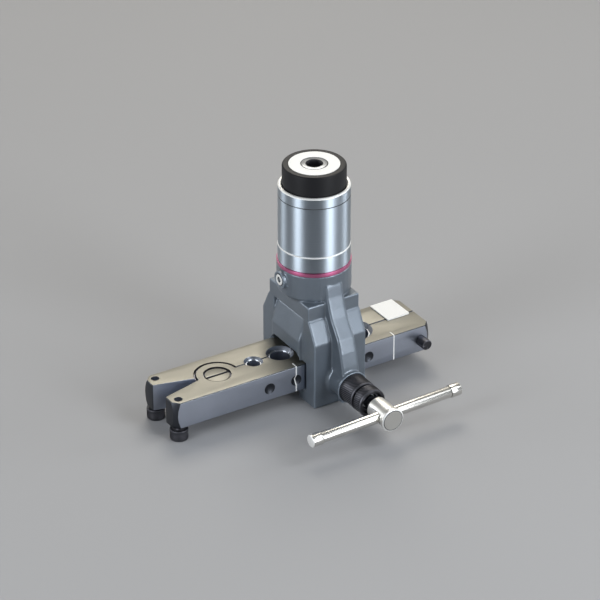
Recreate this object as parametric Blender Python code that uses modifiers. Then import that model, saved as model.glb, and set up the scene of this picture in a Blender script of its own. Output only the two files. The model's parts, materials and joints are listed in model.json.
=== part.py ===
"""Flaring tool: split die bar in a cast yoke, eccentric cone on a clutch driven spindle, T-handle clamp.

Metres, +Z up. The tool frame has its origin on the bench under the spindle axis, +X along the die bar
towards its plain end and -Y towards the clamp handle. One empty carries that frame, and is placed so
that the bottom centre of the whole tool's box lies at the world origin.
"""

import math

import bmesh
import bpy
from mathutils import Matrix, Vector

# Clearances and overruns shared by all pieces
SEAT_GAP = 0.0003
RUN_GAP = 0.0001
STICKER_GAP = 0.00005
OVERRUN = 0.002
MERGE_DISTANCE = 0.000001

# Facets round a turned piece
COARSE_STEPS = 20
FINE_STEPS = 32
EDGE_SEGMENTS = 2

# Die bar
BAR_WIDTH = 0.0291
BAR_THICKNESS = 0.0135
BAR_RIGHT_REACH = 0.0560
BAR_LEFT_REACH = 0.0833
BAR_UNDERSIDE = 0.0070
PARTING_GAP = 0.0003
END_CHAMFER_LENGTH = 0.0032
END_CHAMFER_DEPTH = 0.0030
BAR_EDGE_BREAK = 0.0003

# Tubes that the dies take: outside diameter, flare diameter and place along the bar
TUBE_DIAMETERS = (0.00635, 0.009525, 0.0127, 0.015875)
FLARE_DIAMETERS = (0.0091, 0.0132, 0.0166, 0.0197)
DIE_PLACES = (-0.0330, -0.0187, 0.0, 0.0212)
DIMPLE_RADIUS = 0.0028
DIMPLE_DEPTH = 0.0017

# Die pivot and squeeze legs
PIVOT_INSET = 0.0303
PIVOT_SHIFT = -0.0010
KNUCKLE_RADIUS = 0.0098
KNUCKLE_GAP = 0.0005
PIVOT_PIN_RADIUS = 0.0032
PIVOT_HEAD_RADIUS = 0.0058
PIVOT_HEAD_THICKNESS = 0.0018
PIVOT_HEAD_SINK = 0.0004
PIVOT_SLOT_WIDTH = 0.0012
PIVOT_SLOT_DEPTH = 0.0008
LEG_GAP_AT_TIP = 0.0120
LEG_GAP_AT_ROOT = 0.0018

# Feet under the legs, and the pins in the bar
FOOT_INSET = 0.0041
FOOT_SIDE_INSET = 0.00385
FOOT_RADIUS = 0.0043
FOOT_NECK_RADIUS = 0.0033
FOOT_NECK_HEIGHT = 0.0016
FOOT_STEM_RADIUS = 0.0019
FOOT_STEM_SINK = 0.0030
FOOT_EDGE = 0.0005
STOP_PIN_INSET = 0.0056
STOP_PIN_DROP = 0.0004
STOP_PIN_RADIUS = 0.0026
STOP_PIN_LENGTH = 0.0061
STOP_SPIGOT_RADIUS = 0.0016
STOP_SPIGOT_LENGTH = 0.0060
DOWEL_INSET = 0.0180
DOWEL_RADIUS = 0.0020
DOWEL_LENGTH = 0.0120
DOWEL_PLAY = 0.0003
BAR_LABEL_LENGTH = 0.0124
BAR_LABEL_WIDTH = 0.0155
BAR_LABEL_INSET = 0.0095
BAR_LABEL_SHIFT = 0.0061
BAR_LABEL_THICKNESS = 0.0006
KNOB_LABEL_THICKNESS = 0.0002

# Yoke casting
YOKE_LENGTH = 0.0280
ARM_THICKNESS = 0.0076
ARM_RISE = 0.0127
SHOULDER_RISE = 0.0100
SHOULDER_LEDGE = 0.0005
BLOCK_OVERHANG = 0.0018
BLOCK_LENGTH = 0.0277
BLOCK_HEIGHT = 0.0075
YOKE_EDGE = 0.0009
YOKE_FOOT_EDGE = 0.0006
WINDOW_CLEARANCE = 0.00085
RAIL_CLEARANCE = 0.0005
FLARE_ROOM_HEIGHT = 0.0044
FLARE_ROOM_WIDTH = 0.0236
FLARE_ROOM_EDGE = 0.0018
TUBE_SLOT_WIDTH = 0.0178
SKIRT_WIDTH = 0.0252
SKIRT_BULGE = 0.0020
SKIRT_RISE = 0.0105
SKIRT_TOP_REACH = 0.0120
SKIRT_EDGE = 0.0014
NECK_WALL = 0.0049
NECK_ROOT_STEP = 0.0034
NECK_ROOT_SINK = 0.0022
NECK_UNDERCUT_RISE = 0.0012
NECK_HEIGHT = 0.0133
RIB_WIDTH = 0.0092
RIB_EDGE = 0.0012
RIB_DROP = 0.0045
FRONT_RIB_STAND = 0.0098
BACK_RIB_STAND = 0.0032

# Clamp boss and screw, on the dies' mid height
CLAMP_DROP = 0.0006
BOSS_RADIUS = 0.0070
BOSS_ROOT_RADIUS = 0.0082
BOSS_ROOT_STAND = 0.0013
BOSS_STAND = 0.0094
FLANGE_RADIUS = 0.0079
FLANGE_THICKNESS = 0.0017
FLANGE_RECESS = 0.0009
FLANGE_RIM = 0.0006
WEB_WIDTH = 0.0016
WEB_STAND = 0.0032
BUSH_RADIUS = 0.0071
BUSH_STAND = 0.0095
BUSH_EDGE = 0.0005
BUSH_SPIGOT_RADIUS = 0.0056
BUSH_SPIGOT_LENGTH = 0.0085
BUSH_NOSE_RADIUS = 0.0060
LOCK_RING_GROOVE = 0.0010
LOCK_RING_RADIUS = 0.0070
LOCK_RING_LENGTH = 0.0060
LOCK_RING_RECESS = 0.0024
LOCK_RING_MOUTH_RADIUS = 0.0055
CLAMP_SCREW_RADIUS = 0.0040
CLAMP_TIP_RADIUS = 0.0038
CLAMP_TIP_LENGTH = 0.0046
CLAMP_TIP_POINT_RADIUS = 0.0014
CLAMP_TIP_CONE_LENGTH = 0.0022
CLAMP_NOSE_RADIUS = 0.0018
CLAMP_NOSE_LENGTH = 0.0016
CLAMP_NECK_RADIUS = 0.0031
CLAMP_NECK_INSET = 0.0036
CLAMP_END_WALL = 0.0013
HUB_RADIUS = 0.0052
HUB_STAND = 0.0026
HUB_LENGTH = 0.0144
HUB_EDGE = 0.0008
HUB_CAP_RADIUS = 0.0058
HUB_CAP_THICKNESS = 0.0022
HUB_CAP_EDGE = 0.0005
HUB_GROOVE = 0.0003
TBAR_HUB_SHARE = 0.57
TBAR_RADIUS = 0.0027
TBAR_LENGTH = 0.0808
TBAR_TILT = math.radians(-1.4)
TBAR_CAP_RADIUS = 0.0031
TBAR_CAP_LENGTH = 0.0056
TBAR_SPIGOT_RADIUS = 0.0016
TBAR_CAP_EDGE = 0.0006

# Flaring cone, its bearing and its eccentric holder
CONE_ECCENTRICITY = 0.0010
CONE_REST_LIFT = 0.0035
CONE_RADIUS = 0.0086
CONE_TIP_RADIUS = 0.0005
CONE_RIM = 0.0015
CONE_SHANK_RADIUS = 0.0040
CONE_SHANK_LENGTH = 0.0078
THRUST_BALL_RADIUS = 0.0019
CONE_BUSH_WALL = 0.0014
CONE_BUSH_LENGTH = 0.0062
RETAINER_WALL = 0.0006
RETAINER_THICKNESS = 0.0008
HOLDER_STEP = 0.0035
HOLDER_LENGTH = 0.0148
CONE_BORE_CLEARANCE = 0.0010
CONE_BORE_SPARE = 0.0008

# Feed screw and nut
SPINDLE_RADIUS = 0.0070
SPINDLE_SPIGOT_STEP = 0.0022
SPINDLE_SPIGOT_LENGTH = 0.0022
SPINDLE_STUB_STEP = 0.0010
NUT_WALL = 0.0055
NUT_TOP_RECESS = 0.0006
NUT_EDGE = 0.0006
NUT_SCREW_DROP = 0.0049
NUT_SCREW_RADIUS = 0.0016
NUT_SCREW_HEAD_RADIUS = 0.0027
NUT_SCREW_HEAD_LENGTH = 0.0022
NUT_SCREW_SOCKET_WIDTH = 0.0025
NUT_SCREW_SOCKET_DEPTH = 0.0013
NUT_SCREW_BOSS_RADIUS = 0.0043
NUT_SCREW_BOSS_STAND = 0.0016

# Marking ring and the two sleeves
MARK_RING_THICKNESS = 0.0019
MARK_RING_CLEARANCE = 0.0005
SLEEVE_BASE_STEP = 0.0005
SLEEVE_BASE_LENGTH = 0.0080
SLEEVE_BASE_CHAMFER = 0.0004
SLEEVE_STEP = 0.00015
SLEEVE_WALL = 0.0014
SLEEVE_LENGTH = 0.0300
SLEEVE_RIM_CHAMFER = 0.0006
SLEEVE_FLOOR_THICKNESS = 0.0024
SLEEVE_LINE_DROP = 0.0052
SLEEVE_LINE_DEPTH = 0.00025

# Knob with its hexagon socket, and the clutch inside it
KNOB_CLEARANCE = 0.00055
KNOB_STAND = 0.0098
KNOB_EDGE = 0.0016
KNOB_LENGTH = 0.0250
KNOB_WALL = 0.0022
KNOB_CROWN_THICKNESS = 0.0080
SEAL_WIDTH = 0.0016
SEAL_STAND = 0.0003
SEAL_DEPTH = 0.0007
SEAL_PLACE = 0.0020
HEX_ACROSS_FLATS = 0.00635
HEX_DEPTH = 0.0100
HEX_MOUTH_RADIUS = 0.0041
HEX_MOUTH_DEPTH = 0.0006
KNOB_LABEL_OUTER_RADIUS = 0.0118
KNOB_LABEL_CLEARANCE = 0.0004
CLUTCH_CLEARANCE = 0.0004
CLUTCH_PLATE_THICKNESS = 0.0026
CLUTCH_TOOTH_HEIGHT = 0.0010
CLUTCH_TOOTH_WIDTH = 0.0030
CLUTCH_TEETH = 6
CLUTCH_SPRING_INSET = 0.0024
CLUTCH_WIRE_RADIUS = 0.0008
CLUTCH_SPRING_TURNS = 4
CLUTCH_SPRING_POINTS = 12

# Heights and reaches that follow from the sizes above
BAR_TOP = BAR_UNDERSIDE + BAR_THICKNESS
BAR_MIDDLE = BAR_UNDERSIDE + BAR_THICKNESS / 2
BAR_REACH = BAR_WIDTH / 2
PIVOT_PLACE = PIVOT_INSET - BAR_LEFT_REACH
FOOT_PLACE = FOOT_INSET - BAR_LEFT_REACH
FOOT_SPREAD = BAR_REACH - FOOT_SIDE_INSET
STOP_PIN_PLACE = BAR_RIGHT_REACH - STOP_PIN_INSET
DOWEL_PLACE = BAR_RIGHT_REACH - DOWEL_INSET
BAR_LABEL_PLACE = BAR_RIGHT_REACH - BAR_LABEL_INSET
WINDOW_REACH = BAR_REACH + WINDOW_CLEARANCE
WINDOW_FLOOR = BAR_UNDERSIDE - SEAT_GAP
WINDOW_CEILING = BAR_TOP + RAIL_CLEARANCE
FLARE_ROOM_CEILING = BAR_TOP + FLARE_ROOM_HEIGHT
YOKE_REACH = YOKE_LENGTH / 2
ARM_REACH = WINDOW_REACH + ARM_THICKNESS
ARM_KINK_HEIGHT = WINDOW_CEILING + ARM_RISE
SHOULDER_HEIGHT = ARM_KINK_HEIGHT + SHOULDER_RISE
SKIRT_KINK_HEIGHT = WINDOW_CEILING + SKIRT_RISE
BLOCK_REACH = WINDOW_REACH + BLOCK_OVERHANG
BLOCK_TOP = SHOULDER_HEIGHT + BLOCK_HEIGHT
NECK_ROOT_HEIGHT = BLOCK_TOP - NECK_ROOT_SINK
NECK_UNDERCUT_HEIGHT = BLOCK_TOP + NECK_UNDERCUT_RISE
NECK_TOP = BLOCK_TOP + NECK_HEIGHT
RIB_TOP = NECK_TOP - RIB_DROP
FRONT_RIB_REACH = ARM_REACH + FRONT_RIB_STAND
BACK_RIB_REACH = ARM_REACH + BACK_RIB_STAND
CLAMP_HEIGHT = BAR_MIDDLE - CLAMP_DROP
CLAMP_TIP_REACH = BAR_REACH + SEAT_GAP
BOSS_ROOT_REACH = ARM_REACH + BOSS_ROOT_STAND
BOSS_REACH = ARM_REACH + BOSS_STAND
FLANGE_REACH = BOSS_REACH + FLANGE_THICKNESS
WEB_REACH = ARM_REACH + WEB_STAND
BUSH_REACH = FLANGE_REACH + BUSH_STAND
LOCK_RING_REACH = BUSH_REACH + LOCK_RING_GROOVE + LOCK_RING_LENGTH
CLAMP_NECK_REACH = LOCK_RING_REACH - CLAMP_NECK_INSET
HUB_INNER_REACH = LOCK_RING_REACH + HUB_STAND
HUB_OUTER_REACH = HUB_INNER_REACH + HUB_LENGTH
TBAR_PLACE = HUB_INNER_REACH + HUB_LENGTH * TBAR_HUB_SHARE
CLAMP_END_REACH = TBAR_PLACE - TBAR_RADIUS - CLAMP_END_WALL
SPINDLE_STUB_RADIUS = SPINDLE_RADIUS - SPINDLE_STUB_STEP
SPINDLE_SPIGOT_RADIUS = SPINDLE_RADIUS - SPINDLE_SPIGOT_STEP
DRIVE_HUB_RADIUS = SPINDLE_STUB_RADIUS
KNOB_LABEL_INNER_RADIUS = DRIVE_HUB_RADIUS + KNOB_LABEL_CLEARANCE
NUT_RADIUS = SPINDLE_RADIUS + NUT_WALL
NECK_RADIUS = NUT_RADIUS + NECK_WALL
NECK_ROOT_RADIUS = NECK_RADIUS - NECK_ROOT_STEP
MARK_RING_BORE_RADIUS = NUT_RADIUS + MARK_RING_CLEARANCE
SLEEVE_BASE_RADIUS = NECK_RADIUS - SLEEVE_BASE_STEP
SLEEVE_RADIUS = SLEEVE_BASE_RADIUS - SLEEVE_STEP
HOLDER_RADIUS = SPINDLE_RADIUS + HOLDER_STEP
CONE_TIP = BAR_TOP + CONE_REST_LIFT
CONE_BACK = CONE_TIP + (CONE_RADIUS - CONE_TIP_RADIUS) + CONE_RIM
CONE_SHANK_TOP = CONE_BACK + CONE_SHANK_LENGTH
HOLDER_BOTTOM = CONE_BACK + SEAT_GAP
HOLDER_TOP = HOLDER_BOTTOM + HOLDER_LENGTH
HOLDER_BORE_TOP = CONE_SHANK_TOP + 2 * THRUST_BALL_RADIUS + 2 * RUN_GAP
CONE_BORE_RADIUS = HOLDER_RADIUS + CONE_BORE_CLEARANCE
CONE_BORE_TOP = HOLDER_TOP + CONE_BORE_SPARE
SPINDLE_SHOULDER = HOLDER_TOP + SEAT_GAP
MARK_RING_BOTTOM = NECK_TOP + RUN_GAP
MARK_RING_TOP = MARK_RING_BOTTOM + MARK_RING_THICKNESS
SLEEVE_BASE_BOTTOM = MARK_RING_TOP + RUN_GAP
SLEEVE_BASE_TOP = SLEEVE_BASE_BOTTOM + SLEEVE_BASE_LENGTH
SLEEVE_BOTTOM = SLEEVE_BASE_TOP + RUN_GAP
SLEEVE_TOP = SLEEVE_BOTTOM + SLEEVE_LENGTH
SLEEVE_LINE_HEIGHT = SLEEVE_TOP - SLEEVE_LINE_DROP
SLEEVE_BORE_RADIUS = SLEEVE_RADIUS - SLEEVE_WALL
NUT_BOTTOM = CONE_BORE_TOP + SEAT_GAP
NUT_TOP = SLEEVE_BASE_TOP - NUT_TOP_RECESS
NUT_SCREW_HEIGHT = NECK_TOP - NUT_SCREW_DROP
NUT_SCREW_BOSS_REACH = NECK_RADIUS + NUT_SCREW_BOSS_STAND
KNOB_RADIUS = SLEEVE_BORE_RADIUS - KNOB_CLEARANCE
KNOB_TOP = SLEEVE_TOP + KNOB_STAND
KNOB_SKIRT_BOTTOM = KNOB_TOP - KNOB_LENGTH
KNOB_BORE_RADIUS = KNOB_RADIUS - KNOB_WALL
CLUTCH_RADIUS = KNOB_BORE_RADIUS - CLUTCH_CLEARANCE
CLUTCH_SPRING_RADIUS = CLUTCH_RADIUS - CLUTCH_SPRING_INSET
KNOB_CROWN_UNDERSIDE = KNOB_TOP - KNOB_CROWN_THICKNESS
DRIVEN_PLATE_BOTTOM = KNOB_SKIRT_BOTTOM + SEAT_GAP
DRIVEN_PLATE_TOP = DRIVEN_PLATE_BOTTOM + CLUTCH_PLATE_THICKNESS
DRIVING_PLATE_BOTTOM = DRIVEN_PLATE_TOP + SEAT_GAP
DRIVING_PLATE_TOP = DRIVING_PLATE_BOTTOM + CLUTCH_PLATE_THICKNESS
SPINDLE_TOP = DRIVEN_PLATE_TOP

PARTS_NAME = "flaring_tool"

FRAMES = {}


def srgb(hex_code):
    """Turn a hex colour into the linear values that a shader takes."""
    channels = [int(hex_code[i:i + 2], 16) / 255 for i in (0, 2, 4)]
    linear = [c / 12.92 if c <= 0.04045 else ((c + 0.055) / 1.055) ** 2.4 for c in channels]
    return (*linear, 1.0)


def finish(name, hex_code, roughness, metallic):
    """Make one Principled material."""
    material = bpy.data.materials.new(name)
    material.use_nodes = True
    shader = material.node_tree.nodes["Principled BSDF"]
    shader.inputs["Base Color"].default_value = srgb(hex_code)
    shader.inputs["Roughness"].default_value = roughness
    shader.inputs["Metallic"].default_value = metallic
    material.diffuse_color = srgb(hex_code)
    return material


def clear_scene():
    """Remove every object, and the meshes, curves and collections that they leave."""
    for item in list(bpy.data.objects):
        bpy.data.objects.remove(item, do_unlink=True)
    for store in (bpy.data.meshes, bpy.data.curves, bpy.data.collections, bpy.data.materials):
        for item in list(store):
            store.remove(item)


def collection(name):
    """Make a collection in the scene."""
    group = bpy.data.collections.new(name)
    bpy.context.scene.collection.children.link(group)
    return group


def add_object(name, data, material=None):
    """Link a piece to the parts, or a bare shape without a material to the cutters."""
    item = bpy.data.objects.new(name, data)
    if material is None:
        bpy.data.collections["cutters"].objects.link(item)
        item.display_type = "WIRE"
        item.hide_render = True
        item.parent = bpy.data.objects["tool_frame"]
    else:
        bpy.data.collections[PARTS_NAME].objects.link(item)
        data.materials.append(material)
    return item


def add_frame(name, place, rotation=Matrix.Identity(4)):
    """Add an empty in the tool frame; a moving piece hangs on the one on its joint's axis."""
    empty = bpy.data.objects.new(name, None)
    empty.empty_display_size = SLEEVE_RADIUS
    bpy.data.collections[PARTS_NAME].objects.link(empty)
    matrix = Matrix.Translation(place) @ rotation
    if name != "tool_frame":
        empty.parent = bpy.data.objects["tool_frame"]
        FRAMES[name] = matrix
    empty.matrix_basis = matrix
    return empty


def hang(item, frame_name):
    """Parent a piece to an empty without moving it in the tool frame."""
    item.parent = bpy.data.objects[frame_name]
    item.matrix_basis = FRAMES[frame_name].inverted() @ item.matrix_basis
    return item


def facing(direction, place=(0, 0, 0)):
    """Place a turned shape at a point, with its own +Z turned to a direction."""
    turn = Vector((0, 0, 1)).rotation_difference(Vector(direction)).to_matrix().to_4x4()
    return Matrix.Translation(place) @ turn


def turned(name, profile, steps, material=None, matrix=Matrix.Identity(4)):
    """Turn a profile of (radius, height) pairs. It runs down its outer side, from top to bottom."""
    mesh = bpy.data.meshes.new(name)
    closed = profile[0][0] > 0 or profile[-1][0] > 0
    points = [(radius, 0, height) for radius, height in profile]
    edges = [(i, i + 1) for i in range(len(points) - 1)]
    if closed:
        edges.append((len(points) - 1, 0))
    mesh.from_pydata(points, edges, [])
    item = add_object(name, mesh, material)
    item.matrix_basis = matrix
    screw = item.modifiers.new("Turn", "SCREW")
    screw.axis = "Z"
    screw.steps = steps
    screw.render_steps = steps
    screw.use_merge_vertices = True
    screw.merge_threshold = MERGE_DISTANCE
    screw.use_smooth_shade = True
    screw.use_normal_calculate = False
    return item


def ring(name, outer, inner, bottom, top, steps, material=None, matrix=Matrix.Identity(4)):
    """Turn a plain ring."""
    profile = [(outer, top), (outer, bottom), (inner, bottom), (inner, top)]
    return turned(name, profile, steps, material, matrix)


def disc(name, radius, bottom, top, steps, material=None, matrix=Matrix.Identity(4)):
    """Make a plain cylinder from its bottom to its top along the matrix's Z."""
    mesh = bpy.data.meshes.new(name)
    shape = bmesh.new()
    lift = Matrix.Translation((0, 0, (bottom + top) / 2))
    bmesh.ops.create_cone(
        shape, cap_ends=True, segments=steps, radius1=radius, radius2=radius,
        depth=top - bottom, matrix=lift,
    )
    shape.to_mesh(mesh)
    shape.free()
    item = add_object(name, mesh, material)
    item.matrix_basis = matrix
    return item


def block(name, low, high, material=None):
    """Make a box between two corners in the tool frame."""
    mesh = bpy.data.meshes.new(name)
    shape = bmesh.new()
    size = Vector(high) - Vector(low)
    middle = (Vector(high) + Vector(low)) / 2
    place = Matrix.Translation(middle) @ Matrix.Diagonal((*size, 1))
    bmesh.ops.create_cube(shape, size=1, matrix=place)
    shape.to_mesh(mesh)
    shape.free()
    return add_object(name, mesh, material)


def prism(name, outline, half_depth, matrix, material=None):
    """Extrude a flat outline both ways from its plane, and make it a mesh."""
    curve = bpy.data.curves.new(name, "CURVE")
    curve.dimensions = "2D"
    curve.fill_mode = "BOTH"
    curve.extrude = half_depth
    spline = curve.splines.new("POLY")
    spline.points.add(len(outline) - 1)
    for point, (x, y) in zip(spline.points, outline):
        point.co = (x, y, 0, 1)
    spline.use_cyclic_u = True
    drawn = bpy.data.objects.new(name + "_outline", curve)
    bpy.context.scene.collection.objects.link(drawn)
    return curve_to_mesh(name, drawn, matrix, material)


def curve_to_mesh(name, drawn, matrix, material=None):
    """Replace a curve object by a mesh object in the tool frame, with its caps welded."""
    evaluated = drawn.evaluated_get(bpy.context.evaluated_depsgraph_get())
    mesh = bpy.data.meshes.new_from_object(evaluated)
    mesh.name = name
    curve = drawn.data
    bpy.data.objects.remove(drawn)
    bpy.data.curves.remove(curve)
    shape = bmesh.new()
    shape.from_mesh(mesh)
    bmesh.ops.remove_doubles(shape, verts=shape.verts, dist=MERGE_DISTANCE)
    bmesh.ops.transform(shape, matrix=matrix, verts=shape.verts)
    bmesh.ops.recalc_face_normals(shape, faces=shape.faces)
    shape.to_mesh(mesh)
    shape.free()
    mesh.materials.clear()
    return add_object(name, mesh, material)


# An outline's own x, y and depth, turned to the tool frame's Y, Z and X, or to its X, Z and -Y
ACROSS_BAR = Matrix(((0, 0, 1, 0), (1, 0, 0, 0), (0, 1, 0, 0), (0, 0, 0, 1)))
ALONG_BAR = Matrix(((1, 0, 0, 0), (0, 0, -1, 0), (0, 1, 0, 0), (0, 0, 0, 1)))


def combine(item, others, operation):
    """Add one Boolean whose second shape is all the others in one mesh, with their overlaps."""
    depsgraph = bpy.context.evaluated_depsgraph_get()
    depsgraph.update()
    shape = bmesh.new()
    for other in others:
        mesh = bpy.data.meshes.new_from_object(other.evaluated_get(depsgraph))
        mesh.transform(other.matrix_basis)
        shape.from_mesh(mesh)
        bpy.data.meshes.remove(mesh)
        bpy.data.objects.remove(other)
    label = f"{item.name}_{operation.lower()}_{len(item.modifiers)}"
    mesh = bpy.data.meshes.new(label)
    shape.to_mesh(mesh)
    shape.free()
    modifier = item.modifiers.new("Shape", "BOOLEAN")
    modifier.operation = operation
    modifier.solver = "EXACT"
    modifier.use_self = len(others) > 1
    modifier.object = add_object(label, mesh)
    return item


def cut(item, *cutters):
    """Cut all the cutters from an object."""
    return combine(item, cutters, "DIFFERENCE")


def join(item, *others):
    """Join all the other shapes to an object."""
    return combine(item, others, "UNION")


def round_edges(item, width, segments=EDGE_SEGMENTS):
    """Round the sharp edges that an object has so far."""
    bevel = item.modifiers.new("Edges", "BEVEL")
    bevel.width = width
    bevel.segments = segments
    bevel.limit_method = "ANGLE"
    bevel.angle_limit = math.radians(24)
    bevel.use_clamp_overlap = True
    return item


def mirrored(points):
    """Close a half outline with its mirror image about the vertical axis."""
    return points + [(-x, y) for x, y in reversed(points)]


def yoke_outline():
    """Give the casting's end view: foot, upright arm and sloped shoulder."""
    ledge_reach = BLOCK_REACH + SHOULDER_LEDGE
    return mirrored([
        (-(ARM_REACH - YOKE_FOOT_EDGE), 0),
        (-ARM_REACH, YOKE_FOOT_EDGE),
        (-ARM_REACH, ARM_KINK_HEIGHT),
        (-ledge_reach, SHOULDER_HEIGHT),
    ])


def skirt_outline():
    """Give the bulges over the window, seen along the front, with their sloped tops."""
    bulge_reach = YOKE_REACH + SKIRT_BULGE
    return mirrored([
        (-bulge_reach, WINDOW_CEILING),
        (-bulge_reach, SKIRT_KINK_HEIGHT),
        (-SKIRT_TOP_REACH, SHOULDER_HEIGHT - SHOULDER_LEDGE),
    ])


def front_rib_outline():
    """Give the rib that sweeps from the neck out to the clamp boss."""
    inner = -WINDOW_REACH - SEAT_GAP
    rise = RIB_TOP - CLAMP_HEIGHT
    sweep = FRONT_RIB_REACH - NECK_RADIUS
    out_shares = (0, 0.09, 0.21, 0.32, 0.53, 0.70, 0.84, 0.94, 1)
    up_shares = (1, 0.87, 0.75, 0.67, 0.57, 0.49, 0.36, 0.22, 0.1)
    outer = [
        (-NECK_RADIUS - out * sweep, CLAMP_HEIGHT + up * rise)
        for out, up in zip(out_shares, up_shares)
    ]
    return [(inner, RIB_TOP)] + outer + [(inner, CLAMP_HEIGHT)]


def back_rib_outline():
    """Give the plain stiffening rib of the back arm."""
    inner = WINDOW_REACH + SEAT_GAP
    return [
        (inner, RIB_TOP),
        (NECK_RADIUS, RIB_TOP),
        (BLOCK_REACH + RIB_EDGE, BLOCK_TOP),
        (BACK_RIB_REACH, ARM_KINK_HEIGHT),
        (BACK_RIB_REACH, CLAMP_HEIGHT),
        (ARM_REACH, BAR_UNDERSIDE),
        (inner, BAR_UNDERSIDE),
    ]


def make_yoke(paint):
    """Cast yoke: two arms round the window, sloped skirts, square block, neck, ribs and clamp boss."""
    yoke = prism("yoke", yoke_outline(), YOKE_REACH, ACROSS_BAR, paint)
    round_edges(yoke, YOKE_EDGE)
    shoulder = SHOULDER_HEIGHT - SHOULDER_LEDGE
    pocket_reach = SKIRT_WIDTH / 2
    outside = YOKE_REACH + OVERRUN
    cut(yoke, *[
        block(
            "pocket",
            (low, -pocket_reach, WINDOW_CEILING),
            (high, pocket_reach, SHOULDER_HEIGHT + OVERRUN),
        )
        for low, high in ((-outside, -SKIRT_TOP_REACH), (SKIRT_TOP_REACH, outside))
    ])
    upper = block(
        "yoke_block",
        (-BLOCK_LENGTH / 2, -BLOCK_REACH, shoulder),
        (BLOCK_LENGTH / 2, BLOCK_REACH, BLOCK_TOP),
    )
    round_edges(upper, YOKE_EDGE / 2)
    skirt = prism("yoke_skirt", skirt_outline(), SKIRT_WIDTH / 2, ALONG_BAR)
    round_edges(skirt, SKIRT_EDGE)
    neck = turned("yoke_neck", [
        (0, NECK_TOP),
        (NECK_RADIUS, NECK_TOP),
        (NECK_RADIUS, NECK_UNDERCUT_HEIGHT),
        (NECK_ROOT_RADIUS, NECK_ROOT_HEIGHT),
        (0, NECK_ROOT_HEIGHT),
    ], FINE_STEPS)
    front_rib = prism("yoke_front_rib", front_rib_outline(), RIB_WIDTH / 2, ACROSS_BAR)
    round_edges(front_rib, RIB_EDGE)
    back_rib = prism("yoke_back_rib", back_rib_outline(), RIB_WIDTH / 2, ACROSS_BAR)
    round_edges(back_rib, RIB_EDGE)
    forward = facing((0, -1, 0), (0, 0, CLAMP_HEIGHT))
    boss_root = WINDOW_REACH + SEAT_GAP
    boss = turned("yoke_clamp_boss", [
        (0, FLANGE_REACH - FLANGE_RECESS),
        (FLANGE_RADIUS - FLANGE_RIM, FLANGE_REACH - FLANGE_RECESS),
        (FLANGE_RADIUS - FLANGE_RIM, FLANGE_REACH),
        (FLANGE_RADIUS, FLANGE_REACH),
        (FLANGE_RADIUS, BOSS_REACH),
        (BOSS_RADIUS, BOSS_REACH - FLANGE_RIM),
        (BOSS_RADIUS, BOSS_ROOT_REACH),
        (BOSS_ROOT_RADIUS, ARM_REACH),
        (BOSS_ROOT_RADIUS, boss_root),
        (0, boss_root),
    ], FINE_STEPS, None, forward)
    web = block(
        "yoke_web",
        (-WEB_WIDTH / 2, -WEB_REACH, YOKE_FOOT_EDGE),
        (WEB_WIDTH / 2, -boss_root, CLAMP_HEIGHT),
    )
    screw_side = facing((-1, 0, 0), (0, 0, NUT_SCREW_HEIGHT))
    screw_boss = disc(
        "yoke_screw_boss", NUT_SCREW_BOSS_RADIUS, NUT_RADIUS + OVERRUN, NUT_SCREW_BOSS_REACH,
        COARSE_STEPS, None, screw_side,
    )
    join(yoke, upper, skirt, neck, front_rib, back_rib, boss, web, screw_boss)
    return cut(yoke, *yoke_cutters(forward, screw_side))


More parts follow.
